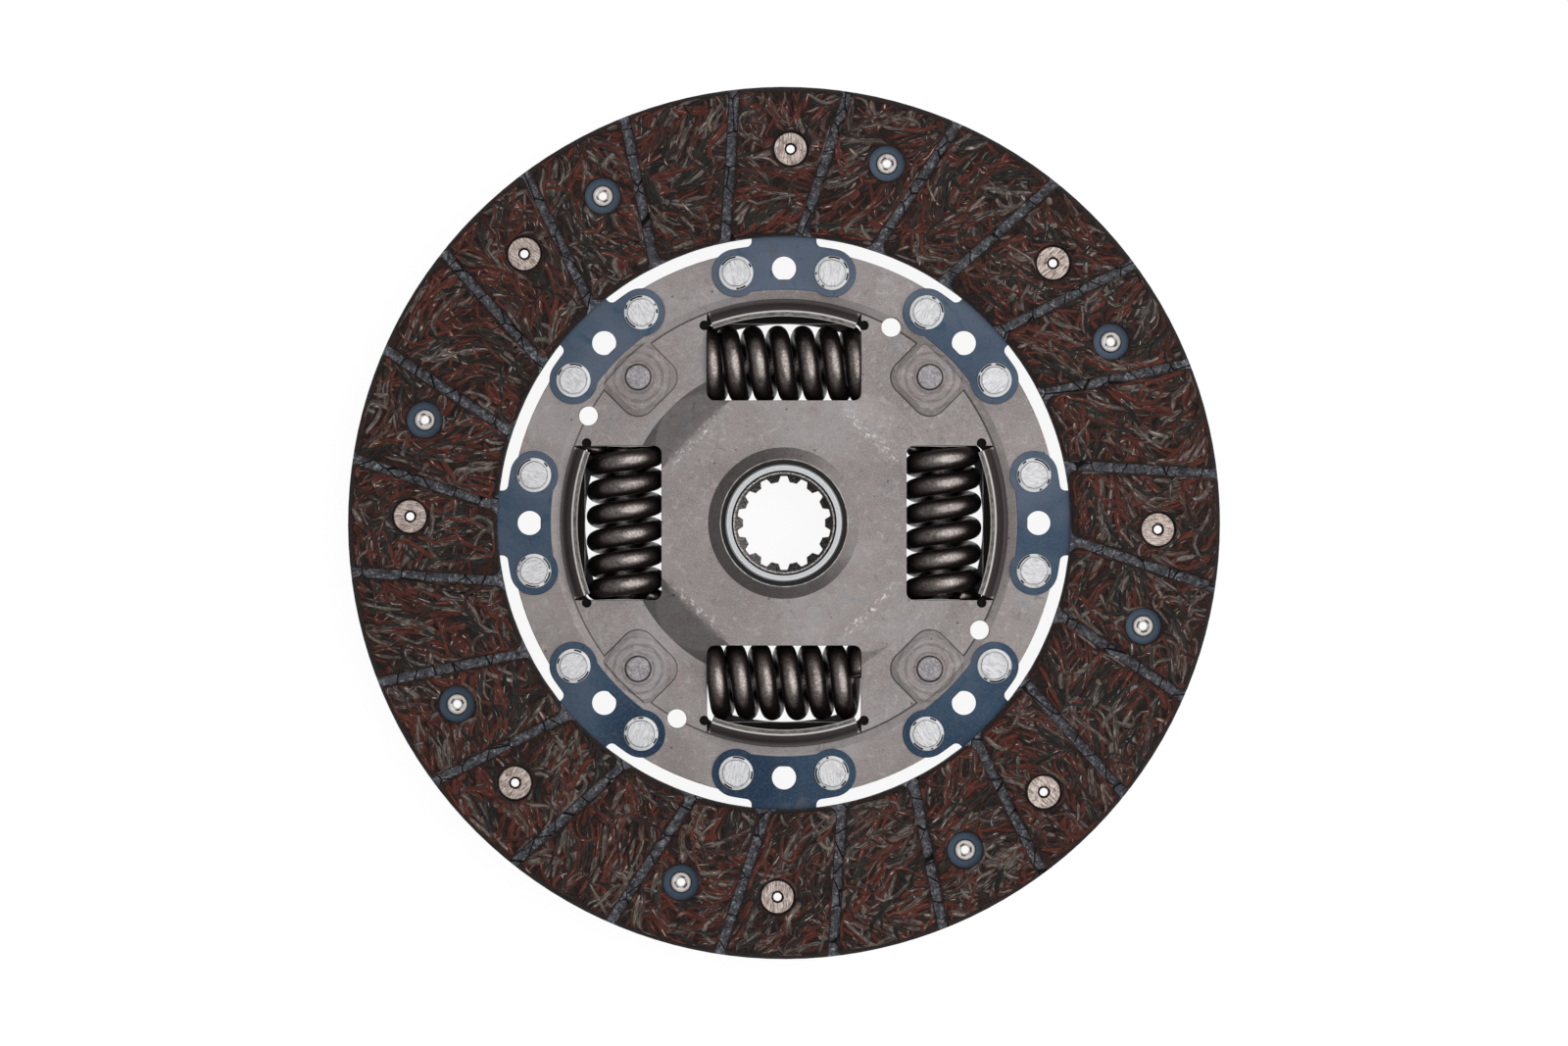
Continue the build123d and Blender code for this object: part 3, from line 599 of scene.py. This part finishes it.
# Zinc-plated solid rivets that hold the segments: pale flats with wavy scratches, a painted highlight on
# the bevel and broken dark arcs of painted shade
def foot_rivet_steel(name):
    p = Paint(name)
    left = p.around(FOOT_RIVET_RADIUS, FOOT_RIVET_ANGLE, SEGMENTS)
    right = p.around(FOOT_RIVET_RADIUS, -FOOT_RIVET_ANGLE, SEGMENTS)
    is_left = p.math("LESS_THAN", p.absolute(left[1]), p.absolute(right[1]))
    is_right = p.but(is_left)
    outward, sideways, index = (
        p.scaled(is_left, a, p.times(is_right, b)) for a, b in zip(left, right)
    )
    rho, phi = p.polar(outward, sideways)
    seed = p.scaled(index, 11.3, p.times(is_left, 57.0))
    wave = p.stretched(p.times(outward, 0.4), p.times(sideways, 2.0), seed, 4.0, 0.65, 1.4)
    stain = p.noise(p.join(outward, sideways, seed), 0.4, 3.0, 0.6)
    ragged = p.stretched(p.math("COSINE", phi), p.math("SINE", phi), seed, 2.0)
    broken = p.stretched(p.times(p.math("COSINE", phi), 1.2), p.times(p.math("SINE", phi), 1.2), seed, 1.0)
    wobble = p.scaled(ragged, 0.5, rho)
    flat = p.ramp(wave, (0.32, rgb(178, 179, 182)), (0.5, rgb(226, 226, 228)), (0.68, rgb(250, 250, 252)))
    flat = p.mix(p.spread(stain, 0.58, 0.72, 0.0, 0.5), flat, rgb(176, 173, 172))
    groove = p.times(p.band(wobble, 3.65, 3.85, 0.1), p.spread(ragged, 0.35, 0.6, 0.5, 0.95))
    flat = p.mix(groove, flat, rgb(92, 95, 101))
    # painted highlight on the bevel round the head
    bevel_highlight = p.spread(wobble, 3.9, 4.05)
    flat = p.mix(bevel_highlight, flat, rgb(255, 255, 255))
    # broken dark arcs of painted shade at the bevel
    arcs = p.times(p.band(rho, 3.9, 4.36, 0.08), p.spread(broken, 0.51, 0.55))
    flat = p.mix(arcs, flat, rgb(30, 34, 42))
    shine = p.scaled(bevel_highlight, -0.5, 0.65)
    rough = p.scaled(wave, 0.3, 0.2)
    height = p.scaled(groove, -1.2, wave)
    normal = p.bump(height, 0.05, 0.8, p.soft_edges(0.3 * MM))
    return p.shade(Base_Color=flat, Metallic=shine, Roughness=rough, Normal=normal)


# Stop pins: dull riveted ends, with painted shade where they meet the plate
def pin_steel(name):
    p = Paint(name, metallic=0.9)
    spot = p.place()
    outward, sideways, _ = p.around(STOP_PIN_RADIUS, 45.0, WINDOWS)
    rho = p.length(outward, sideways)
    grain = p.noise(spot, 2.2, 4.0, 0.7)
    cloud = p.noise(spot, 0.5, 3.0, 0.6, 0.8)
    base = p.ramp(cloud, (0.3, rgb(140, 134, 138)), (0.55, rgb(166, 161, 165)), (0.75, rgb(190, 187, 190)))
    base = p.mix(p.spread(grain, 0.5, 0.68, 0.0, 0.7), base, rgb(232, 229, 230))
    base = p.mix(p.spread(grain, 0.46, 0.3, 0.0, 0.7), base, rgb(92, 86, 90))
    # painted shade where the pin meets the plate
    outline_shade = p.spread(rho, 3.1, 3.4, 0.0, 0.85)
    base = p.mix(outline_shade, base, rgb(48, 42, 41))
    rough = p.scaled(grain, 0.2, 0.3)
    normal = p.bump(grain, 0.03, 0.6, p.soft_edges(0.25 * MM))
    return p.shade(Base_Color=base, Roughness=rough, Normal=normal)


# Hub: turned bright ends, painted shade that blackens the lead-in chamfer, oiled dark splines, a blackened
# flange and painted highlights on the edges
def hub_steel(name):
    p = Paint(name)
    spot = p.place()
    _, _, z = p.split(spot)
    radius = p.radius()
    from_middle = p.absolute(p.minus(z, HUB_MIDDLE))
    lathe = p.stretched(p.times(radius, 3.6), p.times(z, 3.6), 0.0)
    grain = p.noise(spot, 2.0, 4.0, 0.7)
    cloud = p.noise(spot, 0.12, 3.0, 0.6)
    bright = p.ramp(lathe, (0.3, rgb(176, 178, 180)), (0.5, rgb(206, 208, 210)), (0.7, rgb(230, 232, 234)))
    dark = p.ramp(grain, (0.34, rgb(62, 58, 57)), (0.5, rgb(98, 94, 93)), (0.66, rgb(156, 152, 151)))
    barrel = p.mix(p.spread(cloud, 0.4, 0.6), rgb(92, 88, 86), rgb(112, 108, 104))
    body = p.mix(p.spread(radius, HUB_MOUTH_RADIUS - 0.5, HUB_MOUTH_RADIUS + 0.8), dark, barrel)
    flange = p.spread(radius, 20.0, 22.0)
    body = p.mix(flange, body, rgb(26, 24, 23))
    turned = p.times(
        p.spread(radius, HUB_MOUTH_RADIUS - 0.1, HUB_MOUTH_RADIUS + 0.05),
        p.spread(from_middle, HUB_MIDDLE - 0.5, HUB_MIDDLE - 0.2),
    )
    base = p.mix(turned, body, bright)
    rounded = p.soft_edges(0.2 * MM)
    # painted highlight on the rounded edges
    base = p.mix(p.times(p.edge_mask(rounded), 0.6), base, rgb(190, 188, 185))
    mouth = p.spread(from_middle, HUB_MIDDLE - 2.0, HUB_MIDDLE - 1.3)
    # painted shade that blackens the lead-in chamfer
    chamfer_shade = p.times(mouth, p.band(radius, HUB_MOUTH_RADIUS - 0.4, HUB_MOUTH_RADIUS, 0.05))
    base = p.mix(p.times(chamfer_shade, 0.94), base, rgb(26, 23, 23))
    ledge = p.times(mouth, p.band(radius, HUB_RECESS_RADIUS - 0.25, HUB_MOUTH_RADIUS - 0.42, 0.07))
    worn = p.mix(p.spread(grain, 0.42, 0.58), rgb(132, 126, 124), rgb(236, 232, 230))
    base = p.mix(p.times(ledge, 0.95), base, worn)
    rough = p.scaled(grain, 0.25, 0.24)
    shine = p.scaled(ledge, -0.85, 0.95)
    normal = p.bump(lathe, 0.02, 0.5, rounded)
    return p.shade(Base_Color=base, Metallic=shine, Roughness=rough, Normal=normal)


# Damper springs: oiled wire, mottled and bright where it faces the front, with painted shade that turns it
# brown-black where it faces away
def spring_steel(name):
    p = Paint(name, metallic=0.92)
    spot = p.place()
    cloud = p.noise(spot, 0.13, 4.0, 0.6, 0.8)
    grain = p.noise(spot, 1.5, 5.0, 0.75)
    base = p.ramp(cloud, (0.3, rgb(150, 138, 133)), (0.5, rgb(178, 167, 162)), (0.7, rgb(206, 196, 192)))
    base = p.mix(p.spread(grain, 0.5, 0.66, 0.0, 0.8), base, rgb(250, 243, 238))
    base = p.mix(p.spread(grain, 0.47, 0.32, 0.0, 0.75), base, rgb(70, 60, 57))
    # painted shade on the wire where it faces away from the front
    turned_away_shade = p.spread(p.absolute(p.facing_up("Normal")), 0.985, 0.72, 0.0, 0.92)
    base = p.mix(turned_away_shade, base, rgb(46, 35, 33))
    rough = p.scaled(grain, 0.22, 0.24)
    return p.shade(Base_Color=base, Roughness=rough, Normal=p.bump(grain, 0.04, 0.7))


def washer_steel(name):
    p = Paint(name, metallic=0.92)
    spot = p.place()
    lathe = p.stretched(p.times(p.radius(), 2.6), 0.0, 0.0)
    cloud = p.noise(spot, 0.15, 3.0, 0.6, 0.6)
    base = p.ramp(cloud, (0.3, rgb(106, 102, 100)), (0.55, rgb(132, 128, 125)), (0.75, rgb(156, 152, 149)))
    rough = p.scaled(lathe, 0.25, 0.26)
    normal = p.bump(lathe, 0.015, 0.5, p.soft_edges(0.15 * MM))
    return p.shade(Base_Color=base, Roughness=rough, Normal=normal)


def friction_plastic(name):
    p = Paint(name, specular=0.4)
    spot = p.place()
    grain = p.noise(spot, 1.6, 4.0, 0.7)
    base = p.ramp(grain, (0.3, rgb(16, 15, 15)), (0.6, rgb(30, 28, 27)), (0.8, rgb(50, 46, 43)))
    rough = p.scaled(grain, 0.3, 0.36)
    return p.shade(Base_Color=base, Roughness=rough, Normal=p.bump(grain, 0.03, 0.6))


dress(plate_steel("plate_steel"), "carrier_plate", "retainer_plate")
dress(blued_steel("segment_steel"), *[f"cushion_segment_{i}" for i in range(1, SEGMENTS + 1)])
dress(facing_resin("front_facing_resin", FRONT_FACE, 1.0), "front_facing")
dress(facing_resin("rear_facing_resin", REAR_FACE, -1.0), "rear_facing")
dress(facing_rivet_steel("front_rivet_steel", HEAD_ANGLE, 1.0), "front_facing_rivets")
dress(facing_rivet_steel("rear_rivet_steel", TAIL_ANGLE, -1.0), "rear_facing_rivets")
dress(foot_rivet_steel("foot_rivet_steel"), "segment_rivets")
dress(pin_steel("pin_steel"), *[f"stop_pin_{i}" for i in range(1, WINDOWS + 1)])
dress(hub_steel("hub_steel"), "hub")
dress(washer_steel("washer_steel"), "thrust_washer", "cone_spring")
dress(friction_plastic("friction_plastic"), "front_friction_bush", "rear_friction_washer")


def new_piece(name, points, faces, material, body):
    """A smooth mesh piece that rides on a body, from points in metres."""
    mesh = bpy.data.meshes.new(name)
    mesh.from_pydata([tuple(point) for point in points], [], [tuple(face) for face in faces])
    mesh.materials.append(material)
    mesh.polygons.foreach_set("use_smooth", np.ones(len(faces), bool))
    mesh.update()
    piece = bpy.data.objects.new(name, mesh)
    bpy.context.scene.collection.objects.link(piece)
    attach(piece, body)
    return piece


# Damper springs, wound smoothly: even coils between two end turns that close up and are ground flat
EVEN_TURNS = 2.15               # counted from the spring's middle to either side
CLOSING_TURNS = 1.1
RINGS_A_TURN = 44
WIRE_SIDES = 24


def coil_line(turn):
    """The middle of the wire about the spring's own axis, and the outward direction there."""
    reach = EVEN_TURNS + CLOSING_TURNS
    winds = np.linspace(-reach, reach, int(2 * reach * RINGS_A_TURN) + 1)
    past = np.clip(np.abs(winds) - EVEN_TURNS, 0, None)
    closed = EVEN_TURNS * SPRING_PITCH + SPRING_PITCH * past - (SPRING_PITCH - 2 * SPRING_WIRE) * past**2
    height = np.where(past > 0, np.sign(winds) * closed, winds * SPRING_PITCH)
    angle = winds * math.tau + math.radians(turn)
    mean = SPRING_OUTER - SPRING_WIRE
    centre = np.stack([mean * np.cos(angle), mean * np.sin(angle), height], 1)
    outward = np.stack([np.cos(angle), np.sin(angle), np.zeros_like(angle)], 1)
    return centre, outward


def coil(turn, window_angle):
    """Points and faces of one spring in its window."""
    centre, outward = coil_line(turn)
    along = np.gradient(centre, axis=0)
    along /= np.linalg.norm(along, axis=1)[:, None]
    side = np.cross(along, outward)
    ring = np.linspace(0, math.tau, WIRE_SIDES, endpoint=False)
    off_axis = outward[:, None] * np.cos(ring)[None, :, None]
    off_plane = side[:, None] * np.sin(ring)[None, :, None]
    tube = centre[:, None] + SPRING_WIRE * (off_axis + off_plane)
    tube[..., 2] = np.clip(tube[..., 2], -SPRING_LENGTH / 2, SPRING_LENGTH / 2)
    across, depth, along_window = tube.reshape(-1, 3).T
    out = across + SPRING_RADIUS
    a = math.radians(window_angle)
    x = out * math.cos(a) - along_window * math.sin(a)
    y = out * math.sin(a) + along_window * math.cos(a)
    placed = np.stack([x, y, DAMPER_MIDDLE - depth], 1)
    rings = len(centre)
    index = np.arange(rings * WIRE_SIDES).reshape(rings, WIRE_SIDES)
    following = np.roll(index, -1, 1)
    quads = np.stack([index[:-1], following[:-1], following[1:], index[1:]], -1).reshape(-1, 4)
    faces = quads.tolist() + [index[0].tolist(), index[-1][::-1].tolist()]
    return placed * MM, faces


spring_finish = spring_steel("spring_steel")
for number, turn in enumerate(SPRING_TURNS, start=1):
    window_angle = 360 / WINDOWS * (number - 1)
    points, faces = coil(turn, window_angle)
    spring = new_piece(f"coil_{number}", points, faces, spring_finish, "disc")
    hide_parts(f"damper_spring_{number}")
    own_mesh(spring)


# Fibres of the facings: low, slightly domed strands that lie in bundles and follow the edges of the lands
RIM_MARGIN = 0.7                # bare edge of the lands at the facing's rims
STRAND_MARGIN = 0.25            # from a strand's line to the edge of its land
SHORTEST_STRAND = 1.8
STRAND_LENGTHS = (4.0, 20.0)
MEAN_HALF_WIDTH = 0.76
HALF_WIDTH_SPREAD = 0.22
HALF_WIDTHS = (0.35, 1.3)
CROSSING_SHARE = 0.22           # bundles that lie across the flow
YIELDING_SHARE = 0.8            # strands that turn along a near edge
TURN_ROOM = 2.8                 # how near an edge they start to turn
TURN_RATE = 1.1
FLOW_RATE = 0.35
FLOW_WAVES = 9
FLOW_WAVELENGTHS = (22.0, 150.0)
FLOW_BEND = 0.042
FINE_STEPS = 20                 # from a strand's start to either end
KNOTS = 8                       # points along a finished strand
PROBE = 0.05
GOLDEN_ANGLE = math.pi * (3 - math.sqrt(5))
FROM_MIDDLE = np.abs(np.linspace(-1, 1, KNOTS))


def arc_flare(radius, reach):
    """How much wider a groove is at a distance reach from an edge where its corners are rounded."""
    past = np.clip(radius - reach, 0, radius)
    return radius - np.sqrt(radius**2 - past**2)


def land_room(x, y):
    """How far a point is from the nearest edge of the lands, negative outside them."""
    radius = np.hypot(x, y)
    inner = radius - FACING_BORE_RADIUS
    outer = FACING_RADIUS - radius
    room = np.minimum(inner, outer) - RIM_MARGIN
    groove = GROOVE_HALF_WIDTH + arc_flare(GROOVE_FLARE, inner) + arc_flare(GROOVE_OUTER_FLARE, outer)
    for i in range(GROOVES):
        a = math.radians(GROOVE_HEADING + 360 / GROOVES * i)
        along = x * math.cos(a) + y * math.sin(a)
        off = np.abs(y * math.cos(a) - x * math.sin(a) - GROOVE_OFFSET)
        room = np.where(along > 0, np.minimum(room, off - groove), room)
    for first in (HEAD_ANGLE, TAIL_ANGLE):
        for i in range(RIVETS_A_SIDE):
            a = math.radians(first + 360 / RIVETS_A_SIDE * i)
            gap = np.hypot(x - RIVET_CIRCLE_RADIUS * math.cos(a), y - RIVET_CIRCLE_RADIUS * math.sin(a))
            room = np.minimum(room, gap - RECESS_RADIUS)
    return room


def flow_field(rng):
    """A smooth heading for every place, in which the fibres swirl."""
    shortest, longest = FLOW_WAVELENGTHS
    wavelength = np.exp(rng.uniform(math.log(shortest), math.log(longest), FLOW_WAVES))
    turn = rng.uniform(0, math.tau, FLOW_WAVES)
    phase = rng.uniform(0, math.tau, FLOW_WAVES)
    wave_x = np.cos(turn) * math.tau / wavelength
    wave_y = np.sin(turn) * math.tau / wavelength
    swing = FLOW_BEND * wavelength / math.tau

    def flow(x, y):
        return (swing * np.sin(x[..., None] * wave_x + y[..., None] * wave_y + phase)).sum(-1)

    return flow


def seed_bundles(rng, count, flow):
    """Bundles of a few strands, evenly spread: each strand's start, lean off the flow, curve and shade."""
    number = np.arange(count)
    share = (number + rng.uniform(0, 1, count)) / count
    radius = np.sqrt(FACING_BORE_RADIUS**2 + share * (FACING_RADIUS**2 - FACING_BORE_RADIUS**2))
    place = number * GOLDEN_ANGLE + rng.normal(0, 0.01, count)
    crossing = rng.uniform(0, 1, count) < CROSSING_SHARE
    lean = np.where(crossing, rng.uniform(0, math.pi, count), rng.normal(0, 0.22, count))
    curve = rng.normal(0, 0.04, count)
    shade = rng.uniform(0, 1, count)
    owner = np.repeat(number, rng.integers(2, 5, count))
    rng.shuffle(owner)
    n = len(owner)
    x = radius[owner] * np.cos(place[owner])
    y = radius[owner] * np.sin(place[owner])
    lean = lean[owner] + rng.normal(0, 0.09, n)
    heading = flow(x, y) + lean
    aside = rng.normal(0, 1.3, n)
    ahead = rng.normal(0, 2.2, n)
    x = x - np.sin(heading) * aside + np.cos(heading) * ahead
    y = y + np.cos(heading) * aside + np.sin(heading) * ahead
    shade = (shade[owner] + rng.normal(0, 0.1, n)) % 1.0
    curve = curve[owner] + rng.normal(0, 0.03, n)
    return x, y, lean, curve, shade


def grow(x, y, lean, curve, step, yields, flow):
    """Points from one start of each strand outward. Strands that yield turn to run along a near edge."""
    heading = flow(x, y) + lean
    xs, ys = [x], [y]
    for _ in range(FINE_STEPS):
        room = land_room(x, y)
        slope_x = land_room(x + PROBE, y) - room
        slope_y = land_room(x, y + PROBE) - room
        edge = np.arctan2(slope_x, -slope_y)
        near = yields * np.clip((TURN_ROOM - room) / TURN_ROOM, 0, 1) ** 2
        drift = FLOW_RATE * (1 - near) * np.sin(2 * (flow(x, y) + lean - heading))
        heading = heading + step * (curve + drift + TURN_RATE * near * np.sin(2 * (edge - heading)))
        x = x + np.cos(heading) * step
        y = y + np.sin(heading) * step
        xs.append(x)
        ys.append(y)
    return np.stack(xs, 1), np.stack(ys, 1)


def clear_runs(room):
    """First and last step of each strand's longest stretch inside the lands."""
    clear = room > STRAND_MARGIN
    first = np.zeros(len(room), int)
    last = np.zeros(len(room), int)
    for i, row in enumerate(clear):
        ends = np.flatnonzero(np.diff(np.concatenate([[0], row.astype(int), [0]])))
        if len(ends):
            starts, stops = ends[::2], ends[1::2]
            best = int(np.argmax(stops - starts))
            first[i] = starts[best]
            last[i] = stops[best] - 1
    return first, last


def strands(seed, count):
    """Centre lines, half widths, shades and levels of one facing's strands, in the front facing's plan."""
    rng = np.random.default_rng(seed)
    flow = flow_field(rng)
    x, y, lean, curve, shade = seed_bundles(rng, count // 2, flow)
    n = len(x)
    length = np.clip(rng.lognormal(2.35, 0.38, n), *STRAND_LENGTHS)
    step = length / (2 * FINE_STEPS)
    yields = (rng.uniform(0, 1, n) < YIELDING_SHARE).astype(float)
    ahead_x, ahead_y = grow(x, y, lean, curve, step, yields, flow)
    back_x, back_y = grow(x, y, lean, curve, -step, yields, flow)
    x = np.concatenate([back_x[:, :0:-1], ahead_x], 1)
    y = np.concatenate([back_y[:, :0:-1], ahead_y], 1)
    room = land_room(x, y)
    first, last = clear_runs(room)
    rows = np.flatnonzero((last - first) * step > SHORTEST_STRAND)[:count]
    pick = np.linspace(first[rows], last[rows], KNOTS, axis=1)
    low = np.floor(pick).astype(int)
    high = np.minimum(low + 1, 2 * FINE_STEPS)

    def sample(grid):
        return grid[rows[:, None], low] * (1 - (pick - low)) + grid[rows[:, None], high] * (pick - low)

    widest = np.clip(rng.normal(MEAN_HALF_WIDTH, HALF_WIDTH_SPREAD, n), *HALF_WIDTHS)[rows]
    taper = np.sqrt(np.clip(1 - FROM_MIDDLE**4, 0.04, 1))
    half = np.minimum(widest[:, None] * taper, np.maximum(sample(room) - 0.03, 0.12))
    along = pick * step[rows, None]
    return sample(x), sample(y), along, half, shade[rows], rng.uniform(0, 1, len(rows))


# A strand's section: its points as shares of the half width, how high they stand, and the strands' layers
ACROSS = np.array([-1.0, -0.42, 0.42, 1.0])
DOME = np.array([-0.03, 0.13, 0.13, -0.03])
LOWEST = 0.01
LAYERS = 0.1
END_DROP = 0.25


def turned_over(x, y):
    """The front facing's plan, turned over as the rear facing lies."""
    a = math.radians(HEAD_ANGLE + TAIL_ANGLE)
    return x * math.cos(a) + y * math.sin(a), x * math.sin(a) - y * math.cos(a)


def strand_points(x, y, half, level, face, side):
    """The section's points at every knot of every strand, in metres."""
    step_x = np.gradient(x, axis=1)
    step_y = np.gradient(y, axis=1)
    step = np.hypot(step_x, step_y)
    wide = half[..., None] * ACROSS
    px = x[..., None] - (step_y / step)[..., None] * wide
    py = y[..., None] + (step_x / step)[..., None] * wide
    if side < 0:
        px, py = turned_over(px, py)
    dome = DOME * np.minimum(half / 0.5, 1.2)[..., None]
    drop = END_DROP * np.clip(FROM_MIDDLE - 0.72, 0, 1)
    height = LOWEST + LAYERS * level[:, None, None] + dome - drop[:, None]
    return np.stack(np.broadcast_arrays(px, py, face + side * height), -1).reshape(-1, 3) * MM


def mark_strands(mesh, along, shade):
    """Stores at each point how far across and along its strand it lies, and the strand's shade."""
    # the ends count as sides, so the painted shade of the sides also darkens them
    end_fade = np.clip(FROM_MIDDLE * 3.5 - 2.5, 0, 1)
    across = np.sign(ACROSS) * np.maximum(np.abs(ACROSS), end_fade[:, None])
    values = np.stack(np.broadcast_arrays(across, along[..., None], shade[:, None, None]), -1)
    marks = mesh.attributes.new("strand", "FLOAT_VECTOR", "POINT")
    marks.data.foreach_set("vector", values.astype(np.float32).ravel())


def fibre_piece(name, seed, count, face, side, material):
    """All strands of one facing as one piece."""
    x, y, along, half, shade, level = strands(seed, count)
    points = strand_points(x, y, half, level, face, side)
    index = np.arange(len(points)).reshape(len(x), KNOTS, len(ACROSS))
    corners = (index[:, :-1, :-1], index[:, 1:, :-1], index[:, 1:, 1:], index[:, :-1, 1:])
    quads = np.stack(corners, -1).reshape(-1, 4)
    piece = new_piece(name, points, quads, material, "disc")
    mark_strands(piece.data, along, shade)


yarn = fibre_yarn("fibre_yarn")
STRANDS = 4700
fibre_piece("front_fibres", 11, STRANDS, FRONT_FACE, 1.0, yarn)
fibre_piece("rear_fibres", 23, STRANDS, REAR_FACE, -1.0, yarn)


# Floor: pale, near white to the camera and to gloss, clear from below, and it keeps the part's shadow
FLOOR_HALF = 6.0
FLOOR_DROP = 0.0001
FLOOR_GREY = 0.16
FLOOR_GLOW = 0.91


def floor_material():
    material = bpy.data.materials.new("studio_floor")
    material.use_nodes = True
    tree = material.node_tree
    tree.nodes.clear()
    new = tree.nodes.new
    link = tree.links.new
    path = new("ShaderNodeLightPath")
    shown = new("ShaderNodeMath")
    seen = new("ShaderNodeMath")
    diffuse = new("ShaderNodeBsdfDiffuse")
    glow = new("ShaderNodeEmission")
    both = new("ShaderNodeAddShader")
    geometry = new("ShaderNodeNewGeometry")
    clear = new("ShaderNodeBsdfTransparent")
    pick = new("ShaderNodeMixShader")
    output = new("ShaderNodeOutputMaterial")
    diffuse.inputs["Color"].default_value = (FLOOR_GREY, FLOOR_GREY, FLOOR_GREY, 1)
    shown.operation = "MAXIMUM"
    seen.operation = "MULTIPLY"
    seen.inputs[1].default_value = FLOOR_GLOW
    link(path.outputs["Is Camera Ray"], shown.inputs[0])
    link(path.outputs["Is Glossy Ray"], shown.inputs[1])
    link(shown.outputs[0], seen.inputs[0])
    link(seen.outputs[0], glow.inputs["Strength"])
    link(diffuse.outputs[0], both.inputs[0])
    link(glow.outputs[0], both.inputs[1])
    link(geometry.outputs["Backfacing"], pick.inputs[0])
    link(both.outputs[0], pick.inputs[1])
    link(clear.outputs[0], pick.inputs[2])
    link(pick.outputs[0], output.inputs["Surface"])
    return material


floor_corners = [(FLOOR_HALF * x, FLOOR_HALF * y, 0) for x, y in ((-1, -1), (1, -1), (1, 1), (-1, 1))]
floor_mesh = bpy.data.meshes.new("floor")
floor_mesh.from_pydata(floor_corners, [], [(0, 1, 2, 3)])
floor_mesh.materials.append(floor_material())
floor = bpy.data.objects.new("floor", floor_mesh)
floor.location.z = -FLOOR_DROP
bpy.context.scene.collection.objects.link(floor)


# World: white behind the part, a soft fill, and for gloss a studio with a dark screen at the lower right
SCREEN_AZIMUTH = math.radians(-30.0)
SCREEN_LEVEL = 0.12
FILL_LEVEL = 0.6


def grey(level):
    return (level, level, level, 1.0)


def studio_light(new, link):
    """What gloss sees: pale low down, dark above, and darker towards the screen."""
    coords = new("ShaderNodeTexCoord")
    upward = new("ShaderNodeVectorMath")
    upward.operation = "DOT_PRODUCT"
    upward.inputs[1].default_value = (0.0, 0.0, 1.0)
    link(coords.outputs["Generated"], upward.inputs[0])
    ramp = new("ShaderNodeValToRGB")
    elements = ramp.color_ramp.elements
    elements[0].position = 0.0
    elements[0].color = grey(0.75)
    elements[1].position = 0.3
    elements[1].color = grey(0.1)
    between = elements.new(0.12)
    between.color = grey(0.55)
    link(upward.outputs["Value"], ramp.inputs["Fac"])
    towards = new("ShaderNodeVectorMath")
    towards.operation = "DOT_PRODUCT"
    towards.inputs[1].default_value = (math.cos(SCREEN_AZIMUTH), math.sin(SCREEN_AZIMUTH), 0.0)
    link(coords.outputs["Generated"], towards.inputs[0])
    screen = new("ShaderNodeMapRange")
    set_range(screen, 0.5, 0.85, 1.0, SCREEN_LEVEL)
    link(towards.outputs["Value"], screen.inputs["Value"])
    shaded = new("ShaderNodeVectorMath")
    shaded.operation = "SCALE"
    link(ramp.outputs["Color"], shaded.inputs[0])
    link(screen.outputs["Result"], shaded.inputs["Scale"])
    return shaded.outputs["Vector"]


def studio_world():
    world = bpy.data.worlds.new("studio")
    world.use_nodes = True
    tree = world.node_tree
    tree.nodes.clear()
    new = tree.nodes.new
    link = tree.links.new
    path = new("ShaderNodeLightPath")
    fill = new("ShaderNodeBackground")
    studio = new("ShaderNodeBackground")
    white = new("ShaderNodeBackground")
    by_gloss = new("ShaderNodeMixShader")
    by_camera = new("ShaderNodeMixShader")
    output = new("ShaderNodeOutputWorld")
    fill.inputs["Color"].default_value = grey(1.0)
    fill.inputs["Strength"].default_value = FILL_LEVEL
    white.inputs["Color"].default_value = grey(1.0)
    link(studio_light(new, link), studio.inputs["Color"])
    link(path.outputs["Is Glossy Ray"], by_gloss.inputs[0])
    link(fill.outputs[0], by_gloss.inputs[1])
    link(studio.outputs[0], by_gloss.inputs[2])
    link(path.outputs["Is Camera Ray"], by_camera.inputs[0])
    link(by_gloss.outputs[0], by_camera.inputs[1])
    link(white.outputs[0], by_camera.inputs[2])
    link(by_camera.outputs[0], output.inputs["Surface"])
    bpy.context.scene.world = world


studio_world()


def key_lamp(azimuth, elevation, distance, size, power):
    """A round soft lamp that looks at the part's middle, from angles in degrees and lengths in metres."""
    light = bpy.data.lights.new("key", "AREA")
    light.shape = "DISK"
    light.size = size
    light.energy = power
    lamp = bpy.data.objects.new("key", light)
    a = math.radians(azimuth)
    e = math.radians(elevation)
    flat = distance * math.cos(e)
    lamp.location = (flat * math.cos(a), flat * math.sin(a), distance * math.sin(e))
    lamp.rotation_mode = "QUATERNION"
    lamp.rotation_quaternion = lamp.location.to_track_quat("Z", "Y")
    lamp.visible_camera = False
    bpy.context.scene.collection.objects.link(lamp)


key_lamp(azimuth=14.0, elevation=64.0, distance=1.2, size=1.8, power=8.2)


# Camera: straight above the part, with a long lens, so that the facing is as wide as in the photo
CAMERA_DISTANCE = 2.5
CAMERA_LENS = 219.6
camera_data = bpy.data.cameras.new("camera")
camera_data.lens = CAMERA_LENS
camera_data.sensor_width = 36.0
camera_data.clip_start = 0.05
camera_data.clip_end = 20.0
camera = bpy.data.objects.new("camera", camera_data)
camera.location = (0.0, 0.0, CAMERA_DISTANCE + FRONT_FACE * MM)
bpy.context.scene.collection.objects.link(camera)
bpy.context.scene.camera = camera
bpy.context.scene.view_settings.view_transform = "Standard"
